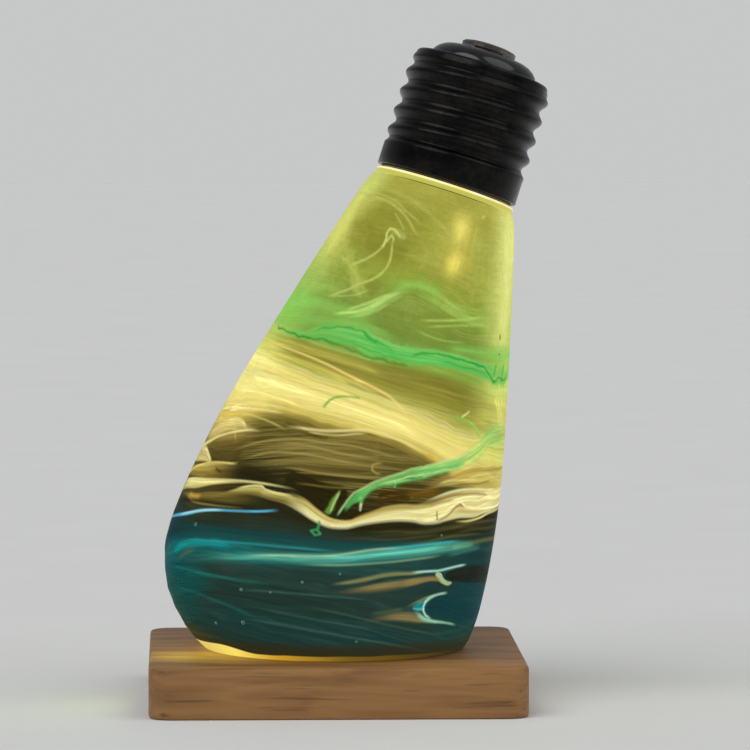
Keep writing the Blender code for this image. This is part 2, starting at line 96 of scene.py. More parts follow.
def casting_outline():
    """The casting's outer rings as (distance below the rim, radius), read from the CAD node."""
    radius, _, below = lamp_coordinates(points_of("resin_body"))
    pocket_r = float(radius[below < below.min() + 0.1 * MM].min())
    rings = {}
    for s, r in zip(below, radius):
        if r > pocket_r + 1 * MM:
            rings.setdefault(round(float(s), 4), []).append(float(r))
    outer = [(s, max(rs)) for s, rs in sorted(rings.items()) if len(rs) > 5 and max(rs) - min(rs) < 0.1 * MM]
    return np.array(outer), pocket_r


OUTLINE, POCKET_R = casting_outline()
POCKET_FLOOR = 5.5 * MM
OUTLINE_TAIL = [(1.35 * MM, 0.79), (2.6 * MM, 0.5), (3.2 * MM, 0.2)]  # past the last ring, share of r


def bulb_radius(below):
    """The casting's outer radius at distances below the rim."""
    last_s, last_r = OUTLINE[-1]
    knots_s = np.append(OUTLINE[:, 0], [last_s + step for step, _ in OUTLINE_TAIL])
    knots_r = np.append(OUTLINE[:, 1], [last_r * share for _, share in OUTLINE_TAIL])
    slopes = np.gradient(knots_r, knots_s)
    below = np.clip(below, knots_s[0], knots_s[-1])
    i = np.clip(np.searchsorted(knots_s, below) - 1, 0, len(knots_s) - 2)
    h = knots_s[i + 1] - knots_s[i]
    x = (below - knots_s[i]) / h
    return ((2 * x**3 - 3 * x**2 + 1) * knots_r[i] + (x**3 - 2 * x**2 + x) * h * slopes[i]
            + (3 * x**2 - 2 * x**3) * knots_r[i + 1] + (x**3 - x**2) * h * slopes[i + 1])


# ---------------------------------------------------------------- shader writing


class Shader:
    """A node material, written as expressions that return sockets."""

    def __init__(self, name):
        self.material = bpy.data.materials.new(name)
        self.material.use_nodes = True
        self.tree = self.material.node_tree
        self.tree.nodes.clear()

    def node(self, kind, inputs=(), **settings):
        made = self.tree.nodes.new("ShaderNode" + kind)
        for key, value in settings.items():
            setattr(made, key, value)
        for key, value in dict(inputs).items():
            self.feed(made.inputs[key], value)
        return made

    def feed(self, socket, value):
        if isinstance(value, bpy.types.NodeSocket):
            self.tree.links.new(value, socket)
        elif value is not None:
            if socket.type == "RGBA" and isinstance(value, tuple) and len(value) == 3:
                value = (*value, 1.0)
            socket.default_value = value

    def math(self, operation, a, b=None, c=None, clamp=False):
        made = self.tree.nodes.new("ShaderNodeMath")
        made.operation, made.use_clamp = operation, clamp
        for socket, value in zip(made.inputs, (a, b, c)):
            self.feed(socket, value)
        return made.outputs[0]

    def add(self, a, b):
        return self.math("ADD", a, b)

    def times(self, a, b):
        return self.math("MULTIPLY", a, b)

    def smooth(self, value, low, high):
        """0 below low, 1 above high, or the reverse when low is above high."""
        made = self.node("MapRange", {0: value, 1: low, 2: high}, interpolation_type="SMOOTHSTEP")
        return made.outputs[0]

    def attribute(self, name):
        return self.node("Attribute", attribute_name=name)

    def parts(self, vector):
        return self.node("SeparateXYZ", {0: vector}).outputs

    def vector(self, x, y, z):
        return self.node("CombineXYZ", {0: x, 1: y, 2: z}).outputs[0]

    def noise(self, vector, scale, detail=2.0, roughness=0.5, distortion=0.0):
        made = self.node("TexNoise", {"Vector": vector, "Scale": scale, "Detail": detail,
                                      "Roughness": roughness, "Distortion": distortion})
        return made.outputs["Fac"]

    def lines(self, noise, sharpness):
        """Thin bright lines along the half-way contour of a noise."""
        away = self.math("ABSOLUTE", self.add(noise, -0.5))
        return self.math("POWER", self.math("SUBTRACT", 1.0, away, clamp=True), sharpness)

    def ramp(self, value, stops):
        made = self.node("ValToRGB", {0: value})
        elements = made.color_ramp.elements
        elements[0].position, elements[0].color = stops[0][0], linear(stops[0][1])
        elements[1].position, elements[1].color = stops[-1][0], linear(stops[-1][1])
        for position, colour in stops[1:-1]:
            elements.new(position).color = linear(colour)
        return made.outputs[0]

    def mix(self, share, a, b, blend="MIX"):
        made = self.node("Mix", data_type="RGBA", blend_type=blend)
        for socket, value in zip((made.inputs[0], made.inputs[6], made.inputs[7]), (share, a, b)):
            self.feed(socket, value)
        return made.outputs[2]

    def bump(self, height, strength, distance):
        made = self.node("Bump", {"Height": height, "Strength": strength, "Distance": distance})
        return made.outputs[0]

    def principled(self, colour, roughness, metallic=0.0, normal=None, **more):
        inputs = {"Base Color": colour, "Roughness": roughness, "Metallic": metallic,
                  "Normal": normal}
        inputs.update({key.replace("_", " "): value for key, value in more.items()})
        return self.node("BsdfPrincipled", inputs).outputs[0]

    def finish(self, surface):
        self.node("OutputMaterial", {0: surface})
        return self.material


def linear(colour):
    """Linear colour with alpha, from 0-255 display values."""
    shares = [value / 255 for value in colour]
    return tuple(c / 12.92 if c <= 0.04045 else ((c + 0.055) / 1.055) ** 2.4 for c in shares) + (1.0,)


# ---------------------------------------------------------------- mesh making


def new_piece(name, mesh, material, body, slot, *nodes):
    """An object on a CAD body that stands for the CAD nodes."""
    obj = bpy.data.objects.new(name, mesh)
    bpy.context.scene.collection.objects.link(obj)
    mesh.materials.append(material)
    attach(obj, body)
    if nodes:
        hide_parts(*nodes)
    return obj


def angles_round(front, back):
    """Angles right round the lamp, so many on the side of the camera and so many behind."""
    return np.append(np.arange(front) / front * math.pi - math.pi / 2,
                     np.arange(back) / back * math.pi + math.pi / 2)


def revolved(name, outline, angles, radius_change=None):
    """A mesh turned round the lamp's axis from (radius, below) points. An outline that starts and
    ends on the axis is closed by poles, any other one is a ring. radius_change is added to the
    radius at (angle, below)."""
    outline = np.array(outline)
    ring = outline[0][0] > 0
    inner = outline if ring else outline[1:-1]
    steps = len(angles)
    radius, below = np.repeat(inner[:, 0], steps), np.repeat(inner[:, 1], steps)
    around = np.tile(angles, len(inner))
    if radius_change is not None:
        radius = radius + radius_change(around, below)
    points = list(map(tuple, lamp_points(radius, around, below)))
    faces = []
    rows = len(inner)
    for row in range(rows if ring else rows - 1):
        for step in range(steps):
            after, lower = (step + 1) % steps, (row + 1) % rows
            faces.append((row * steps + step, lower * steps + step, lower * steps + after,
                          row * steps + after))
    if not ring:
        for end, row in ((0, 0), (-1, rows - 1)):
            points.append(tuple(lamp_points(0.0, 0.0, outline[end][1])))
            for step in range(steps):
                after = (step + 1) % steps
                pair = (row * steps + after, row * steps + step)
                faces.append((len(points) - 1, *(pair if end == 0 else pair[::-1])))
    mesh = bpy.data.meshes.new(name)
    mesh.from_pydata(points, [], faces)
    mesh.update()
    return outward(mesh)


def outward(mesh):
    """Turns every face outwards and shades the mesh smooth."""
    shape = bmesh.new()
    shape.from_mesh(mesh)
    bmesh.ops.recalc_face_normals(shape, faces=shape.faces)
    shape.to_mesh(mesh)
    shape.free()
    mesh.shade_smooth()
    return mesh


def level_cut(mesh, height):
    """Cuts the mesh off below a level plane and closes it there."""
    shape = bmesh.new()
    shape.from_mesh(mesh)
    everything = shape.verts[:] + shape.edges[:] + shape.faces[:]
    bmesh.ops.bisect_plane(shape, geom=everything, plane_co=(0, 0, height), plane_no=(0, 0, -1),
                           clear_outer=True)
    rim = [edge for edge in shape.edges if edge.is_boundary]
    made = bmesh.ops.edgenet_fill(shape, edges=rim)
    for face in made["faces"]:
        face.smooth = False
    bmesh.ops.recalc_face_normals(shape, faces=shape.faces)
    shape.to_mesh(mesh)
    shape.free()
    return mesh


def store(mesh, name, columns):
    """Stores one or three numbers for each vertex as an attribute for the shaders."""
    columns = np.stack(columns, axis=1).astype(np.float32)
    kind = "FLOAT" if columns.shape[1] == 1 else "FLOAT_VECTOR"
    field = "value" if columns.shape[1] == 1 else "vector"
    mesh.attributes.new(name, kind, "POINT").data.foreach_set(field, columns.ravel())


# ---------------------------------------------------------------- where the pigments lie

# lines round the bulb, as (across, below mm)
NECK_LINE = [(-1, 2), (1, 2)]
OLIVE_END = [(-1, 21), (-0.5, 24), (0, 21), (0.5, 24), (1, 21)]
HAZE_END = [(-1, 27.5), (-0.6, 27), (-0.2, 28), (0.2, 28.5), (0.6, 27), (1, 26)]
BAND_TOP = [(-1, 32.5), (-0.7, 31.5), (-0.4, 29.8), (0, 30.4), (0.4, 28.9), (0.8, 29.3), (1, 27.5)]
BAND_LOW = [(-1, 33.3), (-0.7, 34), (-0.4, 33.8), (0, 33.3), (0.4, 31.2), (0.8, 31.2), (1, 30)]
YELLOW_TOP = [(-1, 40), (-0.6, 40.8), (-0.2, 42), (0.1, 42), (0.4, 42.8), (0.7, 43.4), (1, 42)]
BROWN_TOP = [(-1, 52), (-0.9, 51.4), (-0.75, 49.8), (-0.6, 48.8), (-0.4, 49.2), (-0.2, 48),
             (0, 47.6), (0.2, 47.5), (0.4, 48.2), (0.6, 49.6), (0.8, 50.4), (1, 50)]
RIDGE = [(-1, 62), (-0.75, 60.8), (-0.55, 61.2), (-0.4, 61.8), (-0.2, 62.8), (-0.1, 63.4), (0, 63.2),
         (0.1, 62), (0.2, 60.7), (0.4, 58.9), (0.6, 55.8), (0.8, 52.9), (1, 51)]
BLUE_TOP = [(-1, 68), (-0.9, 70.5), (-0.6, 69.3), (-0.4, 68.5), (-0.2, 67.5), (0, 66.5),
            (0.2, 64.2), (0.4, 62.5), (0.6, 60.8), (0.8, 59), (1, 57)]
CYAN_LINE = [(-1, 76.5), (-0.8, 73.8), (-0.6, 72.3), (-0.4, 71.6), (-0.2, 70.8), (0, 69.5),
             (0.2, 67), (0.4, 65), (0.6, 62.6), (0.75, 61), (1, 58.5)]
DEEP_TOP = [(-1, 80), (-0.5, 78.5), (0, 77), (0.4, 77.5), (0.8, 76.5), (1, 74)]
BOTTOM = [(-1, 90), (1, 90)]
FLOW_LINES = [NECK_LINE, OLIVE_END, HAZE_END, BAND_TOP, BAND_LOW, YELLOW_TOP, BROWN_TOP, RIDGE,
              BLUE_TOP, CYAN_LINE, DEEP_TOP, BOTTOM]
STRAND_SLANT = [(-1, 58), (-0.7, 54.5), (-0.4, 51.2), (-0.1, 49.2), (0.3, 47), (1, 43)]
LINE_SAMPLES = 401
LINE_BLUR = 7  # samples
TYPICAL_BELOW = 50 * MM


def drawn_line(points):
    """Distance below the rim at LINE_SAMPLES even steps of across, softened."""
    across, below = np.array(points, float).T
    reach = np.arange(-3 * LINE_BLUR, 3 * LINE_BLUR + 1)
    weights = np.exp(-0.5 * (reach / LINE_BLUR) ** 2)
    line = np.interp(np.linspace(-1, 1, LINE_SAMPLES), across, below)
    padded = np.pad(line, len(reach) // 2, mode="edge")
    return np.convolve(padded, weights / weights.sum(), mode="valid")


FLOW = [drawn_line(points) for points in FLOW_LINES]
LEVELS = np.array([line[LINE_SAMPLES // 2] for line in FLOW])


def along_line(line, across):
    return np.interp(across, np.linspace(-1, 1, LINE_SAMPLES), line)


def flow_level(across, below):
    """The height, in mm at the front, of the flow line through each point."""
    here = [along_line(line, across) for line in FLOW]
    level = LEVELS[0] + below - here[0]
    for i in range(len(FLOW) - 1):
        share = (below - here[i]) / np.maximum(here[i + 1] - here[i], 0.2)
        level = np.where(below > here[i], LEVELS[i] + share * (LEVELS[i + 1] - LEVELS[i]), level)
    return level


RESIN_IOR = 1.45
FOLD_ANGLE = math.radians(97)  # the camera sees so far round the core, thanks to the resin


def drawn_angle(across, below):
    """The angle round the core at which the camera, looking through the resin, sees a drawn place.
    Past -1 and 1 it goes on round the back, a quarter turn for each 1."""
    share = core_radius(below) / bulb_radius(below)
    seen = np.clip(across, -1, 1)
    bend = np.arcsin(seen / (RESIN_IOR * share)) - np.arcsin(seen / RESIN_IOR)
    return np.arcsin(seen) + bend + (across - seen) * math.pi / 2


def front_angle(angle):
    """The angle on the drawn side that each angle round the core copies: the back mirrors the front."""
    size = np.abs(angle)
    behind = (math.pi - size) * FOLD_ANGLE / (math.pi - FOLD_ANGLE)
    return np.sign(angle) * np.where(size < FOLD_ANGLE, size, behind)


def seen_across(angle):
    """Roughly the drawn place across at which an angle round the core is seen."""
    table = np.linspace(-1, 1, LINE_SAMPLES)
    return np.interp(front_angle(angle), drawn_angle(table, TYPICAL_BELOW), table)


BACK_RISE = 7.0  # mm that the drawing's mirror image is raised behind the lamp
BACK_RAMP = 1.3  # the rise is complete where the cosine of the angle is -1 / BACK_RAMP


def pattern_below(angle, below):
    """Distance below the rim, in mm, at which the drawing shows what lies at each place."""
    return below / MM + BACK_RISE * smoothstep(-BACK_RAMP * np.cos(angle))


def mark_flow(mesh):
    """Stores where each vertex lies in the drawing of the pigments."""
    points = vertex_places(mesh)
    radius, angle, below = lamp_coordinates(points)
    below, across = pattern_below(angle, below), seen_across(angle)
    slant = below - along_line(drawn_line(STRAND_SLANT), across)
    store(mesh, "round_axis", (radius * np.cos(angle) / MM, radius * np.sin(angle) / MM, below))
    store(mesh, "flow", (flow_level(across, below), across, slant))
    store(mesh, "foot_height", ((points[:, 2] - FOOT_Z) / MM,))


# ---------------------------------------------------------------- the painter's strokes

STROKE_STEP = 0.8  # mm between the points of a painted line
SPLINE_STEPS = 12  # fine points for each drawn one
WAVES, WAVE_RATIO = 4, 1.7  # how many sizes a random field has, and from each to the next
STREAK_ALONG, STREAK_ACROSS = 0.12, 2.0  # a streak's waves for each mm
GRAIN_RAMP = 0.3  # of cover, over which the grain comes in
THINNEST = 0.3  # mm, half the width of the finest line
GRAIN_WIDTH, GRAIN_START = 1.3, 0.3  # mm of width and share of cover from which paint has its own grain


def smooth_path(points, count):
    """count points evenly along a Catmull-Rom line through the points."""
    points = np.array(points, float)
    ends = np.vstack([2 * points[0] - points[1], points, 2 * points[-1] - points[-2]])
    t = (np.arange(SPLINE_STEPS) / SPLINE_STEPS)[:, None]
    fine = [0.5 * (2 * b + (c - a) * t + (2 * a - 5 * b + 4 * c - d) * t**2 + (3 * b - a - 3 * c + d) * t**3)
            for a, b, c, d in zip(ends, ends[1:], ends[2:], ends[3:])]
    fine = np.vstack([*fine, points[-1:]])
    steps = np.append(0, np.cumsum(np.linalg.norm(np.diff(fine[:, :2], axis=0), axis=1)))
    wanted = np.linspace(0, steps[-1], count)
    return np.stack([np.interp(wanted, steps, column) for column in fine.T], axis=1)


def smoothstep(x):
    x = np.clip(x, 0, 1)
    return x * x * (3 - 2 * x)


class Canvas:
    """Paint on the vertices of a round mesh: colour, cover and how far the paint stands proud."""

    def __init__(self, mesh, seed):
        self.mesh, self.random = mesh, np.random.default_rng(seed)
        self.vertices = vertex_places(mesh)
        _, angle, below = lamp_coordinates(self.vertices)
        around = front_angle(angle) * core_radius(below) / MM
        self.place = np.stack([around, pattern_below(angle, below)], axis=1)
        self.paint, self.cover = np.zeros((len(angle), 3)), np.zeros(len(angle))
        self.lift = np.zeros(len(angle))
        self.strand = np.zeros((len(angle), 3))  # along and across the paint's grain in mm, and its share

    def waves(self, x, y):
        """A smooth random field from about -1 to 1."""
        total = 0
        for size in WAVE_RATIO ** np.arange(WAVES):
            turn, start = self.random.uniform(0.6, 1.4, 2), self.random.uniform(0, 2 * math.pi)
            total = total + np.sin(x * size * turn[0] + y * size * turn[1] + start) / size**0.5
        return total / 2

    def stroke(self, line, width, colour, strength=0.7, crisp=0.1, rough=0.0, streaks=0.25, fade=0.2,
               wiggle=0.0, raised=0.0):
        """A stroke along (across, below) points. width is one number or one for each point, in mm.
        crisp is the share of the width with full cover, rough and wiggle make the edges and the
        line uneven, fade is the share of the length over which each end dies away."""
        widths = [width] * len(line) if isinstance(width, (int, float)) else width
        self.lay([(arc(a, s), s, w) for (a, s), w in zip(line, widths)],
                 colour, strength, crisp, rough, streaks, fade, wiggle, raised)

    def sheaf(self, first, last, count, width, colours, strength=0.5, streaks=0.3, fade=0.3, crisp=0.1,
              raised=0.0):
        """Strokes of random strength spread between two lines."""
        rails = [smooth_path([(arc(a, s), s) for a, s in line], 9) for line in (first, last)]
        for share in (np.arange(count) + self.random.uniform(-0.4, 1.4, count)) / count:
            share = min(max(share, 0), 1)
            line = rails[0] * (1 - share) + rails[1] * share
            line[:, 1] += self.random.uniform(-0.25, 0.25, len(line))
            cut = self.random.integers(0, 3, 2)
            line = line[cut[0]:len(line) - cut[1]]
            size = width * self.random.uniform(0.5, 1.5)
            mix = self.random.uniform(0, 1)
            colour = [a + (b - a) * mix for a, b in zip(colours[0], colours[-1])]
            force = strength * self.random.uniform(0.35, 1.25)
            self.lay([(x, s, size) for x, s in line], colour, min(force, 1), crisp, 0.1, streaks, fade, 0.0,
                     raised)

    def lay(self, flat, colour, strength, crisp, rough, streaks, fade, wiggle, raised):
        length = sum(math.dist(p[:2], q[:2]) for p, q in zip(flat, flat[1:]))
        path = smooth_path(flat, max(5, int(length / STROKE_STEP)))
        if wiggle:
            path[:, 1] += wiggle * self.waves(np.linspace(0, length, len(path)) * 1.3, 0)
        reach = max(path[:, 2].max() * (0.5 + rough), THINNEST)
        low, high = path[:, :2].min(axis=0) - reach, path[:, :2].max(axis=0) + reach
        near = np.flatnonzero(np.all((self.place > low) & (self.place < high), axis=1))
        if len(near) == 0:
            return
        along, away, side = distances(self.place[near], path[:, :2])
        half = np.maximum(np.interp(along, np.linspace(0, 1, len(path)), path[:, 2]) / 2, THINNEST)
        x = along * length
        if rough:
            half = half * (1 + rough * np.maximum(self.waves(x * 1.1, np.sign(side) * 3), -0.9))
        ends = smoothstep(np.minimum(along, 1 - along) / max(fade, 1e-3))
        cover = smoothstep((1 - away / half) / (1 - crisp))
        self.put(near, cover * ends, np.array([linear(colour)[:3]]), strength, streaks, x, side, raised,
                 path[:, 2].max())

    def sheet(self, top, low, colours, strength=0.9, soft=0.3, fade=0.08, streaks=0.3, raised=0.0):
        """Fills the place between two lines, its colours going from the top line to the low one."""
        rails = [smooth_path([(arc(a, s), s) for a, s in line], 60) for line in (top, low)]
        start, end = max(rail[0, 0] for rail in rails), min(rail[-1, 0] for rail in rails)
        x, below = self.place.T
        inside = (x > start) & (x < end) & (below > min(rail[:, 1].min() for rail in rails))
        near = np.flatnonzero(inside & (below < max(rail[:, 1].max() for rail in rails)))
        x, below = x[near], below[near]
        upper, lower = (np.interp(x, np.maximum.accumulate(rail[:, 0]), rail[:, 1]) for rail in rails)
        share = np.clip((below - upper) / np.maximum(lower - upper, 0.05), 0, 1)
        cover = smoothstep(np.minimum(below - upper, lower - below) / soft)
        cover = cover * smoothstep(np.minimum(x - start, end - x) / (fade * (end - start)))
        stops = np.array([linear(colour)[:3] for colour in colours])
        at = np.linspace(0, 1, len(stops))
        colour = np.stack([np.interp(share, at, channel) for channel in stops.T], axis=1)
        thick = float((lower - upper).max()) if len(near) else 0.0
        self.put(near, cover, colour, strength, streaks, x, share * thick, raised, thick)

    def put(self, near, cover, colour, strength, streaks, x, side, raised, width):
        """Lays paint of this cover on the vertices near, with its grain along x where it is wide."""
        if len(near) == 0:
            return
        self.lift[near] += raised * cover
        if width > GRAIN_WIDTH:
            taken = cover > GRAIN_START
            start = self.random.uniform(0, 100)
            self.strand[near[taken]] = np.stack([x + start, side + start, 0 * x], axis=1)[taken]
            self.strand[near, 2] = np.where(taken, smoothstep((cover - GRAIN_START) / GRAIN_RAMP),
                                            self.strand[near, 2] * (1 - np.minimum(cover / GRAIN_START, 1)))
        streak = 0.5 + 0.5 * self.waves(x * STREAK_ALONG, side * STREAK_ACROSS)
        cover = strength * cover * (1 - streaks * streak)
        cover = np.clip(cover, 0, 1)[:, None]
        self.paint[near] = self.paint[near] * (1 - cover) + cover * colour
        self.cover[near] = self.cover[near] * (1 - cover[:, 0]) + cover[:, 0]

    def finish(self):
        """Moves the vertices out by the paint's thickness and stores the paint for the shader."""
        radius, angle, below = lamp_coordinates(self.vertices)
        moved = np.where(radius > POCKET_R + 2 * CORE_POCKET_GAP, self.lift, 0) * MM
        self.mesh.vertices.foreach_set("co", lamp_points(radius + moved, angle, below).ravel())
        store(self.mesh, "paint", tuple(self.paint.T))
        store(self.mesh, "cover", (self.cover,))
        store(self.mesh, "strand", tuple(self.strand.T))


def vertex_places(mesh):
    points = np.zeros(len(mesh.vertices) * 3)
    mesh.vertices.foreach_get("co", points)
    return points.reshape(-1, 3)


def arc(across, below):
    """Distance round the core from the front to a drawn place, in mm."""
    return float(drawn_angle(across, below * MM) * core_radius(below * MM) / MM)


def distances(points, path):
    """For each point: its share along the path, its distance from it and its signed side."""
    starts, steps = path[:-1], np.diff(path, axis=0)
    squares = np.maximum((steps**2).sum(axis=1), 1e-9)
    best = np.full(len(points), np.inf)
    along, side = np.zeros(len(points)), np.zeros(len(points))
    for i, (start, step, square) in enumerate(zip(starts, steps, squares)):
        offset = points - start
        share = np.clip(offset @ step / square, 0, 1)
        away = np.linalg.norm(offset - share[:, None] * step, axis=1)
        closer = away < best
        best[closer] = away[closer]
        along[closer] = (i + share[closer]) / len(steps)
        side[closer] = ((step[0] * offset[:, 1] - step[1] * offset[:, 0]) / square**0.5)[closer]
    return along, best, side


def paint_neck(stroke, sheaf, sheet):
    pale, olive = (188, 192, 98), (130, 129, 44)
    stroke([(-0.9, 13), (-0.7, 12), (-0.5, 13)], 13, olive, 0.7, 0, fade=0.3)
    stroke([(-0.6, 15), (-0.3, 14), (-0.1, 14)], 9, (132, 134, 44), 0.6, 0, fade=0.3)
    stroke([(0.0, 18), (0.05, 12), (0.1, 7)], 6, (176, 178, 80), 0.6, 0, fade=0.3)
    stroke([(0.55, 4), (0.6, 12), (0.6, 19)], 9, (178, 186, 88), 0.6, 0, fade=0.3)
    stroke([(-0.52, 20), (-0.4, 22), (-0.3, 22.5)], 6, olive, 0.5, 0, fade=0.4)
    stroke([(0, 25.5), (0.25, 24.5), (0.5, 24)], 6, (124, 136, 52), 0.55, 0, fade=0.4)
    stroke([(-0.2, 4), (0.1, 4), (0.2, 6)], 7, (150, 148, 58), 0.5, 0, fade=0.4)
    sheaf([(-0.9, 2), (0, 2.5), (0.9, 3)], [(-0.9, 19), (0, 17.5), (0.9, 19)], 22, 1.3, [(176, 176, 84),
            (136, 136, 50)], 0.3)
    stroke([(-0.75, 9), (-0.5, 8.5), (-0.25, 8), (-0.1, 8)], 9, (138, 136, 50), 0.6, 0, fade=0.25)
    stroke([(-0.7, 15), (-0.45, 14.5), (-0.15, 15)], 9, (130, 130, 42), 0.65, 0, fade=0.25)
    # Painted highlight of the LEDs' light seen in the neck: a broad glow right of the middle, with two brighter
    # vertical spots in it.
    stroke([(0.31, 2), (0.31, 9), (0.3, 18.5)], 10, (206, 196, 90), 0.8, 0, fade=0.35)
    stroke([(0.26, 3), (0.28, 7), (0.29, 11.5)], 5, (232, 220, 108), 0.9, 0, streaks=0, fade=0.5)
    stroke([(0.29, 10.4), (0.28, 13.5), (0.25, 17)], 4.4, (236, 220, 102), 0.95, 0, streaks=0, fade=0.5)
    stroke([(0.9, 1), (0.91, 14), (0.88, 27)], 9, (224, 228, 134), 0.7, 0)
    stroke([(-0.97, 2), (-0.95, 10), (-0.93, 20)], 6, (208, 214, 112), 0.5, 0)
    stroke([(-1, 6), (-0.7, 6.3), (-0.5, 7.1), (-0.35, 8.4), (-0.2, 10.5), (-0.05, 11.3)], 0.9, pale)
    stroke([(-0.95, 5), (-0.6, 5.8), (-0.45, 6.8), (-0.3, 7.9), (-0.1, 9.2)], 0.8, pale, 0.5)
    stroke([(-0.53, 7.7), (-0.42, 9.2), (-0.32, 10.8)], 0.6, pale, 0.6)
    stroke([(-0.9, 4), (-0.5, 4.6), (-0.2, 6), (0.1, 8.2), (0.3, 10)], 1.2, pale, 0.35)
    stroke([(0.45, 15.5), (0.51, 17.5), (0.55, 19.8)], 1.4, pale, 0.35, 0)
    stroke([(0.5, 4.2), (0.56, 3.6)], 0.5, (214, 214, 118))
    curl = (206, 213, 122)
    stroke([(-0.47, 15), (-0.47, 13.2), (-0.492, 12), (-0.49, 11.2), (-0.455, 10.85), (-0.41, 11.1),
            (-0.37, 11.7), (-0.33, 12.2)], 0.6, curl, 0.95, 0.3, fade=0.1)
    stroke([(-0.46, 14), (-0.45, 12.8), (-0.43, 12), (-0.4, 12.7), (-0.39, 13.6)], 0.5, curl, 0.75, 0.2)
    stroke([(-0.47, 11.2), (-0.38, 11.4), (-0.27, 12.1)], 1.7, curl, 0.5, 0)
    stroke([(-0.48, 12), (-0.475, 14.5), (-0.52, 16.3), (-0.6, 18.1), (-0.7, 19.6)], 0.8, curl, 0.65)
    stroke([(-0.41, 12.8), (-0.37, 15), (-0.35, 17), (-0.38, 19.3), (-0.45, 21), (-0.52, 22),
            (-0.6, 23.8), (-0.72, 25.8)], 0.7, curl, 0.65, fade=0.1)
    stroke([(-0.88, 14.5), (-0.65, 19.5), (-0.52, 22.5), (-0.4, 25.5)], 3.6, (190, 198, 98), 0.9, 0,
            rough=0.5, streaks=0.9, wiggle=0.4)
    stroke([(-0.82, 17.5), (-0.62, 20.5), (-0.47, 23.4)], 2, (186, 194, 96), 0.8, 0, rough=0.6,
            streaks=0.9, wiggle=0.4)


def paint_haze(stroke, sheaf, sheet):
    mist, light = (146, 204, 96), (192, 228, 124)
    stroke([(-1, 28.5), (-0.7, 27.8), (-0.4, 28), (-0.2, 28.4)], 5.5, mist, 0.65, 0)
    stroke([(-1, 25), (-0.7, 24.3), (-0.55, 24)], 4, (170, 202, 96), 0.5, 0)
    stroke([(-0.25, 22.5), (-0.12, 19.8), (0.08, 19.3), (0.26, 20.5)], 3.4, (142, 194, 88), 0.75, 0,
            rough=0.3, streaks=0.5)
    sheaf([(-0.2, 19.4), (0.1, 18.6), (0.4, 20.4), (0.8, 19)], [(-0.2, 22), (0.1, 21.5), (0.5, 23),
            (0.9, 22.5)], 9, 0.9, [(150, 192, 86), (176, 204, 100)], 0.4)
    sheaf([(-0.62, 28.6), (-0.42, 26.4), (-0.32, 24.3), (-0.22, 22.2), (-0.12, 20.4)], [(-0.5, 29.3),
            (-0.35, 27.4), (-0.25, 25.2), (-0.16, 22.6), (-0.08, 20.8)], 7, 0.8, [light, mist], 0.6)
    stroke([(-0.64, 28.9), (-0.42, 26.8), (-0.31, 24.7), (-0.21, 22.4), (-0.1, 20.6)], 0.9, light, 0.8)
    stroke([(-0.55, 27.7), (-0.4, 25.3), (-0.26, 22.8), (-0.17, 21.6)], 1.0, light)
    stroke([(-0.75, 26), (-0.55, 24.6), (-0.4, 22.4)], 0.5, light, 0.4)
    stroke([(0.06, 25.4), (0.3, 23.9), (0.5, 22.5), (0.7, 20.6)], 0.8, (178, 212, 104), 0.75)
    stroke([(0.12, 26.2), (0.35, 24.6), (0.6, 22.9), (0.8, 22)], 0.7, (168, 206, 98), 0.6)
    stroke([(0.05, 27.1), (0.3, 27.4), (0.55, 26.4)], 0.6, (164, 204, 98), 0.55)
    stroke([(0.3, 28.6), (0.6, 27.6), (0.85, 26.6), (1.05, 25)], 3, (134, 202, 94), 0.65, 0, streaks=0.4)
    stroke([(0.86, 22.7), (0.868, 24)], 1.0, (122, 112, 48), 0.85, 0.4, rough=0.3, fade=0.3)


